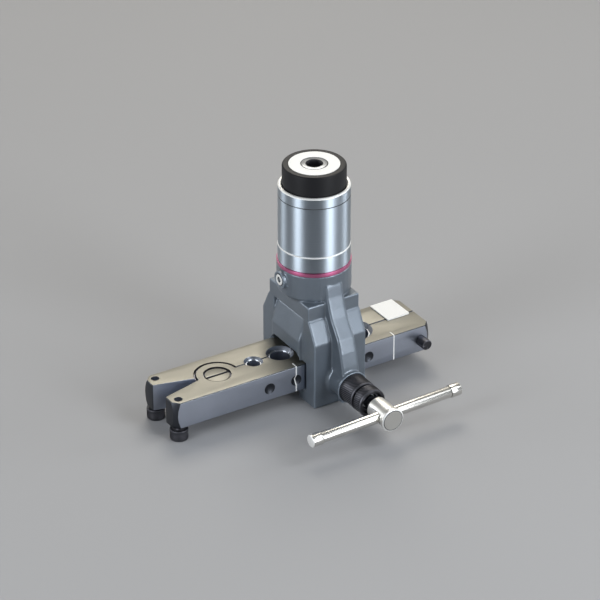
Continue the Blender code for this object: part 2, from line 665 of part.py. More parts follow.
def yoke_cutters(forward, screw_side):
    """Make the window, the room for the flare, the tube slot and the bores."""
    past = YOKE_REACH + SKIRT_BULGE + OVERRUN
    window = block(
        "window",
        (-past, -WINDOW_REACH, WINDOW_FLOOR),
        (past, WINDOW_REACH, WINDOW_CEILING),
    )
    room_reach = FLARE_ROOM_WIDTH / 2
    flare_room = prism("flare_room", mirrored([
        (-room_reach, BAR_MIDDLE),
        (-room_reach, FLARE_ROOM_CEILING - FLARE_ROOM_EDGE),
        (-(room_reach - FLARE_ROOM_EDGE), FLARE_ROOM_CEILING),
    ]), past, ACROSS_BAR)
    slot_reach = TUBE_SLOT_WIDTH / 2
    tube_slot = block("tube_slot", (-past, -slot_reach, -OVERRUN), (past, slot_reach, BAR_MIDDLE))
    nut_seat_radius = NUT_RADIUS + SEAT_GAP
    bore = turned("spindle_bore", [
        (0, NECK_TOP + OVERRUN),
        (nut_seat_radius, NECK_TOP + OVERRUN),
        (nut_seat_radius, CONE_BORE_TOP),
        (CONE_BORE_RADIUS, CONE_BORE_TOP),
        (CONE_BORE_RADIUS, BAR_MIDDLE),
        (0, BAR_MIDDLE),
    ], FINE_STEPS)
    spigot_end = FLANGE_REACH - FLANGE_RECESS - BUSH_SPIGOT_LENGTH - SEAT_GAP
    spigot_bore_radius = BUSH_SPIGOT_RADIUS + SEAT_GAP
    screw_bore_radius = CLAMP_SCREW_RADIUS + SEAT_GAP
    clamp_bore = turned("clamp_bore", [
        (0, FLANGE_REACH + OVERRUN),
        (spigot_bore_radius, FLANGE_REACH + OVERRUN),
        (spigot_bore_radius, spigot_end),
        (screw_bore_radius, spigot_end),
        (screw_bore_radius, BAR_REACH),
        (0, BAR_REACH),
    ], COARSE_STEPS, None, forward)
    head_seat = NUT_SCREW_BOSS_REACH - NUT_SCREW_HEAD_LENGTH
    head_bore_radius = NUT_SCREW_HEAD_RADIUS + SEAT_GAP
    shank_bore_radius = NUT_SCREW_RADIUS + RUN_GAP
    nut_screw_bore = turned("nut_screw_bore", [
        (0, NUT_SCREW_BOSS_REACH + OVERRUN),
        (head_bore_radius, NUT_SCREW_BOSS_REACH + OVERRUN),
        (head_bore_radius, head_seat - SEAT_GAP),
        (shank_bore_radius, head_seat - SEAT_GAP),
        (shank_bore_radius, SPINDLE_RADIUS),
        (0, SPINDLE_RADIUS),
    ], COARSE_STEPS, None, screw_side)
    return window, flare_room, tube_slot, bore, clamp_bore, nut_screw_bore


def half_outline(side):
    """Give the plan of one die half, with its squeeze leg. side is -1 for the front and 1 for the back."""
    inner = PARTING_GAP / 2
    knuckle_left = PIVOT_PLACE - KNUCKLE_RADIUS
    points = [
        (BAR_RIGHT_REACH, inner),
        (BAR_RIGHT_REACH, BAR_REACH),
        (-BAR_LEFT_REACH, BAR_REACH),
        (-BAR_LEFT_REACH, LEG_GAP_AT_TIP / 2),
        (knuckle_left, LEG_GAP_AT_ROOT / 2),
        (knuckle_left + SEAT_GAP, inner),
    ]
    return [(x, side * y) for x, y in points]


def die_hole_cutters():
    """Make one cutter for each tube: its bore, and the 45 degree flare seat at the top."""
    cutters = []
    for number, (tube, flare, place) in enumerate(zip(TUBE_DIAMETERS, FLARE_DIAMETERS, DIE_PLACES), 1):
        seat_depth = (flare - tube) / 2
        cutters.append(turned(f"die_hole_{number}", [
            (0, BAR_TOP + OVERRUN),
            (flare / 2 + OVERRUN, BAR_TOP + OVERRUN),
            (tube / 2, BAR_TOP - seat_depth),
            (tube / 2, BAR_UNDERSIDE - OVERRUN),
            (0, BAR_UNDERSIDE - OVERRUN),
        ], FINE_STEPS, None, Matrix.Translation((place, 0, 0))))
    return cutters


def end_cutters():
    """Make the rings whose conical bores turn the bar's two ends to a chamfer."""
    corner = math.hypot(BAR_REACH, BAR_THICKNESS / 2)
    end_radius = corner - END_CHAMFER_DEPTH
    slope = END_CHAMFER_DEPTH / END_CHAMFER_LENGTH
    cutters = []
    for name, direction, reach in (("right", 1, BAR_RIGHT_REACH), ("left", -1, BAR_LEFT_REACH)):
        cutters.append(turned(f"{name}_end_chamfer", [
            (corner + 2 * OVERRUN, reach + OVERRUN),
            (corner + 2 * OVERRUN, reach - END_CHAMFER_LENGTH - OVERRUN),
            (corner + OVERRUN * slope, reach - END_CHAMFER_LENGTH - OVERRUN),
            (end_radius - OVERRUN * slope, reach + OVERRUN),
        ], FINE_STEPS, None, facing((direction, 0, 0), (0, 0, BAR_MIDDLE))))
    return cutters


def pivot_cutter():
    """Make the pin's hole with a seat for its head at each face."""
    head_seat = PIVOT_HEAD_SINK + PIVOT_HEAD_THICKNESS + SEAT_GAP
    head_radius = PIVOT_HEAD_RADIUS + SEAT_GAP
    pin_radius = PIVOT_PIN_RADIUS + RUN_GAP
    return turned("pivot_hole", [
        (0, BAR_TOP + OVERRUN),
        (head_radius, BAR_TOP + OVERRUN),
        (head_radius, BAR_TOP - head_seat),
        (pin_radius, BAR_TOP - head_seat),
        (pin_radius, BAR_UNDERSIDE + head_seat),
        (head_radius, BAR_UNDERSIDE + head_seat),
        (head_radius, BAR_UNDERSIDE - OVERRUN),
        (0, BAR_UNDERSIDE - OVERRUN),
    ], FINE_STEPS, None, Matrix.Translation((PIVOT_PLACE, PIVOT_SHIFT, 0)))


def knuckle_spans(on_top):
    """Give the heights of a half's own knuckle, and of the recess for the other half's knuckle."""
    split_high = BAR_MIDDLE + SEAT_GAP / 2
    split_low = BAR_MIDDLE - SEAT_GAP / 2
    if on_top:
        return (split_high, BAR_TOP), (BAR_UNDERSIDE - OVERRUN, split_high)
    return (BAR_UNDERSIDE, split_low), (split_low, BAR_TOP + OVERRUN)


def make_die_halves(steel):
    """Split die: each half carries one half-thickness knuckle, and the other half is cut round it."""
    at_pivot = Matrix.Translation((PIVOT_PLACE, PIVOT_SHIFT, 0))
    to_plan = Matrix.Translation((0, 0, BAR_MIDDLE))
    dowel_reach = DOWEL_LENGTH / 2 + SEAT_GAP
    halves = []
    for name, side in (("die_front", -1), ("die_back", 1)):
        half = prism(name, half_outline(side), BAR_THICKNESS / 2, to_plan, steel)
        round_edges(half, BAR_EDGE_BREAK, 1)
        knuckle_span, recess_span = knuckle_spans(side < 0)
        recess = disc("recess", KNUCKLE_RADIUS + KNUCKLE_GAP, *recess_span, FINE_STEPS, None, at_pivot)
        knuckle = disc("knuckle", KNUCKLE_RADIUS, *knuckle_span, FINE_STEPS, None, at_pivot)
        foot_hole = disc(
            "foot_hole", FOOT_STEM_RADIUS + RUN_GAP, BAR_UNDERSIDE - OVERRUN, BAR_TOP + OVERRUN,
            COARSE_STEPS, None, Matrix.Translation((FOOT_PLACE, side * FOOT_SPREAD, 0)),
        )
        dowel_hole = disc(
            "dowel_hole", DOWEL_RADIUS + DOWEL_PLAY, -dowel_reach, dowel_reach,
            COARSE_STEPS, None, facing((0, 1, 0), (DOWEL_PLACE, 0, BAR_MIDDLE)),
        )
        front_holes = [*dimple_cutters(), stop_pin_hole()] if side < 0 else []
        cut(half, recess)
        join(half, knuckle)
        cut(
            half, pivot_cutter(), *die_hole_cutters(), *end_cutters(), foot_hole, dowel_hole, *front_holes,
        )
        halves.append(half)
    return halves


def dimple_cutters():
    """Make the countersinks in the front face that centre the clamp's tip at each tube size."""
    return [
        turned(f"dimple_{number}", [
            (0, BAR_REACH + OVERRUN),
            (DIMPLE_RADIUS + OVERRUN * DIMPLE_RADIUS / DIMPLE_DEPTH, BAR_REACH + OVERRUN),
            (0, BAR_REACH - DIMPLE_DEPTH),
        ], COARSE_STEPS, None, facing((0, -1, 0), (place, 0, CLAMP_HEIGHT)))
        for number, place in enumerate(DIE_PLACES, 1)
    ]


def stop_pin_frame():
    """Place the stop pin's own axis, which points forward out of the front face."""
    return facing((0, -1, 0), (STOP_PIN_PLACE, 0, BAR_MIDDLE - STOP_PIN_DROP))


def stop_pin_hole():
    """Make the hole that the stop pin's spigot is pressed into."""
    root = BAR_REACH - STOP_SPIGOT_LENGTH - SEAT_GAP
    return disc(
        "stop_pin_hole", STOP_SPIGOT_RADIUS + RUN_GAP, root, BAR_REACH + OVERRUN, COARSE_STEPS, None,
        stop_pin_frame(),
    )


def make_bar_pins(bar_steel, black_steel, bright_steel, label_film):
    """Pivot pin, feet, stop pin, dowel and the blank label of the die bar."""
    at_pivot = Matrix.Translation((PIVOT_PLACE, PIVOT_SHIFT, 0))
    head_top = BAR_TOP - PIVOT_HEAD_SINK
    head_bottom = BAR_UNDERSIDE + PIVOT_HEAD_SINK
    pin = turned("pivot_pin", [
        (0, head_top),
        (PIVOT_HEAD_RADIUS, head_top),
        (PIVOT_HEAD_RADIUS, head_top - PIVOT_HEAD_THICKNESS),
        (PIVOT_PIN_RADIUS, head_top - PIVOT_HEAD_THICKNESS),
        (PIVOT_PIN_RADIUS, head_bottom + PIVOT_HEAD_THICKNESS),
        (PIVOT_HEAD_RADIUS, head_bottom + PIVOT_HEAD_THICKNESS),
        (PIVOT_HEAD_RADIUS, head_bottom),
        (0, head_bottom),
    ], FINE_STEPS, bar_steel, at_pivot)
    slot_reach = PIVOT_HEAD_RADIUS + OVERRUN
    slot = block(
        "pivot_slot",
        (PIVOT_PLACE - slot_reach, PIVOT_SHIFT - PIVOT_SLOT_WIDTH / 2, head_top - PIVOT_SLOT_DEPTH),
        (PIVOT_PLACE + slot_reach, PIVOT_SHIFT + PIVOT_SLOT_WIDTH / 2, head_top + OVERRUN),
    )
    hang(cut(pin, slot), "die_front_axis")
    for name, side, frame in (("foot_front", -1, "die_front_axis"), ("foot_back", 1, "die_pivot_axis")):
        place = Matrix.Translation((FOOT_PLACE, side * FOOT_SPREAD, 0))
        hang(make_foot(name, place, black_steel), frame)
    stop_pin = turned("stop_pin", [
        (0, BAR_REACH + STOP_PIN_LENGTH),
        (STOP_PIN_RADIUS - FOOT_EDGE, BAR_REACH + STOP_PIN_LENGTH),
        (STOP_PIN_RADIUS, BAR_REACH + STOP_PIN_LENGTH - FOOT_EDGE),
        (STOP_PIN_RADIUS, BAR_REACH + SEAT_GAP),
        (STOP_SPIGOT_RADIUS, BAR_REACH + SEAT_GAP),
        (STOP_SPIGOT_RADIUS, BAR_REACH - STOP_SPIGOT_LENGTH),
        (0, BAR_REACH - STOP_SPIGOT_LENGTH),
    ], COARSE_STEPS, black_steel, stop_pin_frame())
    hang(stop_pin, "die_front_axis")
    dowel = disc(
        "locating_dowel", DOWEL_RADIUS, -DOWEL_LENGTH / 2, DOWEL_LENGTH / 2, COARSE_STEPS, bright_steel,
        facing((0, 1, 0), (DOWEL_PLACE, 0, BAR_MIDDLE)),
    )
    hang(dowel, "die_front_axis")
    label_bottom = BAR_TOP + STICKER_GAP
    label_middle = Vector((BAR_LABEL_PLACE, BAR_LABEL_SHIFT, label_bottom + BAR_LABEL_THICKNESS / 2))
    label_half = Vector((BAR_LABEL_LENGTH, BAR_LABEL_WIDTH, BAR_LABEL_THICKNESS)) / 2
    label = block("bar_label", label_middle - label_half, label_middle + label_half, label_film)
    hang(label, "die_pivot_axis")


def make_foot(name, place, material):
    """Turned foot: knurled head, neck under the bar and a stem up into the leg."""
    head_top = BAR_UNDERSIDE - FOOT_NECK_HEIGHT
    return turned(name, [
        (0, BAR_TOP - FOOT_STEM_SINK),
        (FOOT_STEM_RADIUS, BAR_TOP - FOOT_STEM_SINK),
        (FOOT_STEM_RADIUS, BAR_UNDERSIDE - SEAT_GAP),
        (FOOT_NECK_RADIUS, BAR_UNDERSIDE - SEAT_GAP),
        (FOOT_NECK_RADIUS, head_top),
        (FOOT_RADIUS - FOOT_EDGE, head_top),
        (FOOT_RADIUS, head_top - FOOT_EDGE),
        (FOOT_RADIUS, FOOT_EDGE),
        (FOOT_RADIUS - FOOT_EDGE, 0),
        (0, 0),
    ], COARSE_STEPS, material, place)


def make_clamp(black_steel, bright_steel, nickel):
    """Clamp bush and lock ring on the yoke, the screw with its swivel tip, hub and sliding T-bar."""
    forward = facing((0, -1, 0), (0, 0, CLAMP_HEIGHT))
    seat = FLANGE_REACH - FLANGE_RECESS + SEAT_GAP
    bore = CLAMP_SCREW_RADIUS + RUN_GAP
    turned("clamp_bush", [
        (BUSH_NOSE_RADIUS, BUSH_REACH + LOCK_RING_GROOVE),
        (BUSH_NOSE_RADIUS, BUSH_REACH),
        (BUSH_RADIUS - BUSH_EDGE, BUSH_REACH),
        (BUSH_RADIUS, BUSH_REACH - BUSH_EDGE),
        (BUSH_RADIUS, seat),
        (BUSH_SPIGOT_RADIUS, seat),
        (BUSH_SPIGOT_RADIUS, seat - BUSH_SPIGOT_LENGTH),
        (bore, seat - BUSH_SPIGOT_LENGTH),
        (bore, BUSH_REACH + LOCK_RING_GROOVE),
    ], FINE_STEPS, black_steel, forward)
    lock_root = BUSH_REACH + LOCK_RING_GROOVE + RUN_GAP
    turned("clamp_lock_ring", [
        (LOCK_RING_RADIUS - BUSH_EDGE, LOCK_RING_REACH),
        (LOCK_RING_RADIUS, LOCK_RING_REACH - BUSH_EDGE),
        (LOCK_RING_RADIUS, lock_root + BUSH_EDGE),
        (LOCK_RING_RADIUS - BUSH_EDGE, lock_root),
        (bore, lock_root),
        (bore, LOCK_RING_REACH - LOCK_RING_RECESS),
        (LOCK_RING_MOUTH_RADIUS, LOCK_RING_REACH - LOCK_RING_RECESS),
        (LOCK_RING_MOUTH_RADIUS, LOCK_RING_REACH),
    ], FINE_STEPS, black_steel, forward)
    tip_root = CLAMP_TIP_REACH + CLAMP_TIP_LENGTH
    socket_radius = CLAMP_NOSE_RADIUS + RUN_GAP
    tip = turned("clamp_tip", [
        (CLAMP_TIP_RADIUS, tip_root),
        (CLAMP_TIP_RADIUS, CLAMP_TIP_REACH + CLAMP_TIP_CONE_LENGTH),
        (CLAMP_TIP_POINT_RADIUS, CLAMP_TIP_REACH),
        (0, CLAMP_TIP_REACH),
        (0, tip_root - CLAMP_NOSE_LENGTH - SEAT_GAP),
        (socket_radius, tip_root - CLAMP_NOSE_LENGTH - SEAT_GAP),
        (socket_radius, tip_root),
    ], COARSE_STEPS, bright_steel, forward)
    hang(tip, "clamp_axis")
    screw_root = tip_root + RUN_GAP
    screw = turned("clamp_screw", [
        (0, CLAMP_END_REACH),
        (CLAMP_NECK_RADIUS, CLAMP_END_REACH),
        (CLAMP_NECK_RADIUS, CLAMP_NECK_REACH),
        (CLAMP_SCREW_RADIUS, CLAMP_NECK_REACH),
        (CLAMP_SCREW_RADIUS, screw_root),
        (CLAMP_NOSE_RADIUS, screw_root),
        (CLAMP_NOSE_RADIUS, screw_root - CLAMP_NOSE_LENGTH),
        (0, screw_root - CLAMP_NOSE_LENGTH),
    ], COARSE_STEPS, bright_steel, forward)
    hang(screw, "clamp_axis")
    make_handle(nickel)


def make_handle(nickel):
    """Hub on the clamp screw, and the bar that slides through it with a stop cap at each end."""
    forward = facing((0, -1, 0))
    hub_bore = CLAMP_NECK_RADIUS + RUN_GAP
    cap_root = HUB_OUTER_REACH - HUB_CAP_THICKNESS
    groove_radius = HUB_RADIUS - HUB_GROOVE
    hub = turned("clamp_hub", [
        (0, HUB_OUTER_REACH),
        (HUB_CAP_RADIUS - 2 * HUB_CAP_EDGE, HUB_OUTER_REACH),
        (HUB_CAP_RADIUS, HUB_OUTER_REACH - HUB_CAP_EDGE),
        (HUB_CAP_RADIUS, cap_root + HUB_CAP_EDGE),
        (HUB_CAP_RADIUS - HUB_CAP_EDGE, cap_root),
        (groove_radius, cap_root),
        (groove_radius, cap_root - HUB_GROOVE),
        (HUB_RADIUS, cap_root - 2 * HUB_GROOVE),
        (HUB_RADIUS, HUB_INNER_REACH + HUB_EDGE),
        (HUB_RADIUS - HUB_EDGE, HUB_INNER_REACH),
        (hub_bore, HUB_INNER_REACH),
        (hub_bore, CLAMP_END_REACH + RUN_GAP),
        (0, CLAMP_END_REACH + RUN_GAP),
    ], FINE_STEPS, nickel)
    hub_frame = FRAMES["handle_axis"]
    hub.matrix_basis = hub_frame @ forward
    across = hub_frame @ facing((1, 0, 0), (0, -TBAR_PLACE, 0))
    past = HUB_RADIUS + OVERRUN
    bar_hole = disc("tbar_hole", TBAR_RADIUS + RUN_GAP, -past, past, COARSE_STEPS, None, across)
    hang(cut(hub, bar_hole), "handle_axis")
    shoulder = TBAR_LENGTH / 2 - TBAR_CAP_LENGTH
    spigot_end = TBAR_LENGTH / 2 - TBAR_CAP_EDGE - SEAT_GAP
    bar = turned("tbar", [
        (0, spigot_end),
        (TBAR_SPIGOT_RADIUS, spigot_end),
        (TBAR_SPIGOT_RADIUS, shoulder),
        (TBAR_RADIUS, shoulder),
        (TBAR_RADIUS, -shoulder),
        (TBAR_SPIGOT_RADIUS, -shoulder),
        (TBAR_SPIGOT_RADIUS, -spigot_end),
        (0, -spigot_end),
    ], COARSE_STEPS, nickel, across)
    hang(bar, "tbar_axis")
    cap_root = shoulder + RUN_GAP
    cap_bore = TBAR_SPIGOT_RADIUS + RUN_GAP
    cap_profile = [
        (0, TBAR_LENGTH / 2),
        (TBAR_CAP_RADIUS - TBAR_CAP_EDGE, TBAR_LENGTH / 2),
        (TBAR_CAP_RADIUS, TBAR_LENGTH / 2 - TBAR_CAP_EDGE),
        (TBAR_CAP_RADIUS, cap_root + TBAR_CAP_EDGE),
        (TBAR_CAP_RADIUS - TBAR_CAP_EDGE, cap_root),
        (cap_bore, cap_root),
        (cap_bore, spigot_end + RUN_GAP),
        (0, spigot_end + RUN_GAP),
    ]
    for name, direction in (("tbar_cap_right", 1), ("tbar_cap_left", -1)):
        place = hub_frame @ facing((direction, 0, 0), (0, -TBAR_PLACE, 0))
        hang(turned(name, cap_profile, COARSE_STEPS, nickel, place), "tbar_axis")


def make_cone_group(hard_steel, bronze, black_steel):
    """Flaring cone on its eccentric axis, with thrust ball, bush and retainer in the holder."""
    off_centre = Matrix.Translation((CONE_ECCENTRICITY, 0, 0))
    cone_wide = CONE_TIP + CONE_RADIUS - CONE_TIP_RADIUS
    cone = turned("flaring_cone", [
        (0, CONE_SHANK_TOP),
        (CONE_SHANK_RADIUS, CONE_SHANK_TOP),
        (CONE_SHANK_RADIUS, CONE_BACK),
        (CONE_RADIUS, CONE_BACK),
        (CONE_RADIUS, cone_wide),
        (CONE_TIP_RADIUS, CONE_TIP),
        (0, CONE_TIP),
    ], FINE_STEPS, hard_steel, off_centre)
    hang(cone, "cone_axis")
    ball_mesh = bpy.data.meshes.new("thrust_ball")
    shape = bmesh.new()
    lift = Matrix.Translation((0, 0, CONE_SHANK_TOP + RUN_GAP + THRUST_BALL_RADIUS))
    bmesh.ops.create_uvsphere(shape, u_segments=12, v_segments=8, radius=THRUST_BALL_RADIUS, matrix=lift)
    shape.to_mesh(ball_mesh)
    shape.free()
    ball = add_object("thrust_ball", ball_mesh, hard_steel)
    ball.matrix_basis = off_centre
    hang(ball, "cone_axis")
    bush_inner = CONE_SHANK_RADIUS + RUN_GAP
    bush_outer = bush_inner + CONE_BUSH_WALL
    bush_bottom = HOLDER_BOTTOM + RETAINER_THICKNESS + 2 * RUN_GAP
    bush_top = bush_bottom + CONE_BUSH_LENGTH
    bush = ring(
        "cone_bush", bush_outer, bush_inner, bush_bottom, bush_top, COARSE_STEPS, bronze, off_centre
    )
    hang(bush, "spindle_axis")
    retainer_outer = bush_outer + RETAINER_WALL
    retainer = ring(
        "cone_retainer", retainer_outer, bush_inner, HOLDER_BOTTOM + RUN_GAP,
        HOLDER_BOTTOM + RUN_GAP + RETAINER_THICKNESS, COARSE_STEPS, black_steel, off_centre,
    )
    hang(retainer, "spindle_axis")
    holder = turned("cone_holder", [
        (0, HOLDER_TOP),
        (HOLDER_RADIUS, HOLDER_TOP),
        (HOLDER_RADIUS, HOLDER_BOTTOM),
        (0, HOLDER_BOTTOM),
    ], FINE_STEPS, black_steel)
    ball_bore = THRUST_BALL_RADIUS + RUN_GAP
    cone_seat = turned("cone_seat", [
        (0, HOLDER_BORE_TOP),
        (max(ball_bore, bush_inner), HOLDER_BORE_TOP),
        (max(ball_bore, bush_inner), bush_top + RUN_GAP),
        (bush_outer + RUN_GAP, bush_top + RUN_GAP),
        (bush_outer + RUN_GAP, bush_bottom),
        (retainer_outer + RUN_GAP, bush_bottom),
        (retainer_outer + RUN_GAP, HOLDER_BOTTOM - OVERRUN),
        (0, HOLDER_BOTTOM - OVERRUN),
    ], COARSE_STEPS, None, off_centre)
    spigot_hole = disc(
        "spindle_spigot_hole", SPINDLE_SPIGOT_RADIUS + RUN_GAP, HOLDER_TOP - SPINDLE_SPIGOT_LENGTH,
        HOLDER_TOP + OVERRUN, COARSE_STEPS,
    )
    hang(cut(holder, cone_seat, spigot_hole), "spindle_axis")


def make_feed(hard_steel, bronze, bright_steel):
    """Feed screw in its bronze nut, and the socket screw that locks the nut in the neck."""
    spigot_bottom = HOLDER_TOP - SPINDLE_SPIGOT_LENGTH + SEAT_GAP
    stub_bottom = DRIVEN_PLATE_BOTTOM - SEAT_GAP
    spindle = turned("spindle", [
        (0, SPINDLE_TOP),
        (SPINDLE_STUB_RADIUS, SPINDLE_TOP),
        (SPINDLE_STUB_RADIUS, stub_bottom),
        (SPINDLE_RADIUS, stub_bottom),
        (SPINDLE_RADIUS, SPINDLE_SHOULDER),
        (SPINDLE_SPIGOT_RADIUS, SPINDLE_SHOULDER),
        (SPINDLE_SPIGOT_RADIUS, spigot_bottom),
        (0, spigot_bottom),
    ], FINE_STEPS, hard_steel)
    hang(spindle, "spindle_axis")
    nut_bore = SPINDLE_RADIUS + RUN_GAP
    nut = turned("feed_nut", [
        (NUT_RADIUS - NUT_EDGE, NUT_TOP),
        (NUT_RADIUS, NUT_TOP - NUT_EDGE),
        (NUT_RADIUS, NUT_BOTTOM + NUT_EDGE),
        (NUT_RADIUS - NUT_EDGE, NUT_BOTTOM),
        (nut_bore, NUT_BOTTOM),
        (nut_bore, NUT_TOP),
    ], FINE_STEPS, bronze)
    screw_side = facing((-1, 0, 0), (0, 0, NUT_SCREW_HEIGHT))
    screw_root = (NUT_RADIUS + SPINDLE_RADIUS) / 2
    nut_hole = disc(
        "nut_screw_seat", NUT_SCREW_RADIUS + RUN_GAP, screw_root - SEAT_GAP, NUT_RADIUS + OVERRUN,
        COARSE_STEPS, None, screw_side,
    )
    cut(nut, nut_hole)
    head_seat = NUT_SCREW_BOSS_REACH - NUT_SCREW_HEAD_LENGTH
    screw = turned("nut_screw", [
        (0, NUT_SCREW_BOSS_REACH),
        (NUT_SCREW_HEAD_RADIUS, NUT_SCREW_BOSS_REACH),
        (NUT_SCREW_HEAD_RADIUS, head_seat),
        (NUT_SCREW_RADIUS, head_seat),
        (NUT_SCREW_RADIUS, screw_root),
        (0, screw_root),
    ], COARSE_STEPS, bright_steel, screw_side)
    socket_floor = NUT_SCREW_BOSS_REACH - NUT_SCREW_SOCKET_DEPTH
    socket = disc(
        "nut_screw_socket", NUT_SCREW_SOCKET_WIDTH / math.sqrt(3), socket_floor,
        NUT_SCREW_BOSS_REACH + OVERRUN, 6, None, screw_side,
    )
    cut(screw, socket)
    for item in (nut, screw):
        item.parent = bpy.data.objects["tool_frame"]


def make_sleeves(satin_metal, rose_ring):
    """Marking ring, lower sleeve screwed on the nut, and the upper sleeve round the knob."""
    base_bore = MARK_RING_BORE_RADIUS
    mark_ring = ring(
        "mark_ring", NECK_RADIUS, MARK_RING_BORE_RADIUS, MARK_RING_BOTTOM, MARK_RING_TOP, FINE_STEPS,
        rose_ring,
    )
    base = turned("sleeve_base", [
        (SLEEVE_BASE_RADIUS - SLEEVE_BASE_CHAMFER, SLEEVE_BASE_TOP),
        (SLEEVE_BASE_RADIUS, SLEEVE_BASE_TOP - SLEEVE_BASE_CHAMFER),
        (SLEEVE_BASE_RADIUS, SLEEVE_BASE_BOTTOM),
        (base_bore, SLEEVE_BASE_BOTTOM),
        (base_bore, SLEEVE_BASE_TOP),
    ], FINE_STEPS, satin_metal)
    floor_top = SLEEVE_BOTTOM + SLEEVE_FLOOR_THICKNESS
    line_radius = SLEEVE_RADIUS - SLEEVE_LINE_DEPTH
    sleeve = turned("sleeve", [
        (SLEEVE_RADIUS - SLEEVE_RIM_CHAMFER, SLEEVE_TOP),
        (SLEEVE_RADIUS, SLEEVE_TOP - SLEEVE_RIM_CHAMFER),
        (SLEEVE_RADIUS, SLEEVE_LINE_HEIGHT + SLEEVE_LINE_DEPTH),
        (line_radius, SLEEVE_LINE_HEIGHT),
        (SLEEVE_RADIUS, SLEEVE_LINE_HEIGHT - SLEEVE_LINE_DEPTH),
        (SLEEVE_RADIUS, SLEEVE_BOTTOM),
        (base_bore, SLEEVE_BOTTOM),
        (base_bore, floor_top),
        (SLEEVE_BORE_RADIUS, floor_top),
        (SLEEVE_BORE_RADIUS, SLEEVE_TOP),
    ], FINE_STEPS, satin_metal)
    hang(sleeve, "spindle_axis")
    for item in (mark_ring, base):
        item.parent = bpy.data.objects["tool_frame"]


def make_knob(black_polymer, rubber, hard_steel, label_film):
    """Knob cup with its seal, drive hub and blank label ring."""
    seal_top = KNOB_SKIRT_BOTTOM + SEAL_PLACE + SEAL_WIDTH
    seal_bottom = KNOB_SKIRT_BOTTOM + SEAL_PLACE
    groove_radius = KNOB_RADIUS - SEAL_DEPTH
    label_floor = KNOB_TOP - KNOB_LABEL_THICKNESS - STICKER_GAP
    hub_hole = DRIVE_HUB_RADIUS + RUN_GAP
    half_round = KNOB_EDGE * (1 - math.sin(math.pi / 4))
    knob = turned("knob", [
        (KNOB_LABEL_OUTER_RADIUS + SEAT_GAP, KNOB_TOP),
        (KNOB_RADIUS - KNOB_EDGE, KNOB_TOP),
        (KNOB_RADIUS - half_round, KNOB_TOP - half_round),
        (KNOB_RADIUS, KNOB_TOP - KNOB_EDGE),
        (KNOB_RADIUS, seal_top + RUN_GAP),
        (groove_radius, seal_top + RUN_GAP),
        (groove_radius, seal_bottom - RUN_GAP),
        (KNOB_RADIUS, seal_bottom - RUN_GAP),
        (KNOB_RADIUS, KNOB_SKIRT_BOTTOM),
        (KNOB_BORE_RADIUS, KNOB_SKIRT_BOTTOM),
        (KNOB_BORE_RADIUS, KNOB_CROWN_UNDERSIDE),
        (hub_hole, KNOB_CROWN_UNDERSIDE),
        (hub_hole, label_floor),
        (KNOB_LABEL_OUTER_RADIUS + SEAT_GAP, label_floor),
    ], FINE_STEPS, black_polymer)
    hang(knob, "spindle_axis")
    seal = ring(
        "knob_seal", KNOB_RADIUS + SEAL_STAND, groove_radius + RUN_GAP, seal_bottom, seal_top,
        FINE_STEPS, rubber,
    )
    hang(seal, "spindle_axis")
    hub = disc("drive_hub", DRIVE_HUB_RADIUS, DRIVING_PLATE_BOTTOM, KNOB_TOP, FINE_STEPS, hard_steel)
    socket = disc(
        "hex_socket", HEX_ACROSS_FLATS / math.sqrt(3), KNOB_TOP - HEX_DEPTH, KNOB_TOP + OVERRUN, 6
    )
    mouth_slope = (HEX_MOUTH_RADIUS - HEX_ACROSS_FLATS / 2) / HEX_MOUTH_DEPTH
    mouth = turned("hex_mouth", [
        (0, KNOB_TOP + OVERRUN),
        (HEX_MOUTH_RADIUS + OVERRUN * mouth_slope, KNOB_TOP + OVERRUN),
        (0, KNOB_TOP - HEX_MOUTH_RADIUS / mouth_slope),
    ], FINE_STEPS)
    hang(cut(hub, socket, mouth), "spindle_axis")
    label = ring(
        "knob_label", KNOB_LABEL_OUTER_RADIUS, KNOB_LABEL_INNER_RADIUS, label_floor + STICKER_GAP, KNOB_TOP,
        FINE_STEPS, label_film,
    )
    hang(label, "spindle_axis")


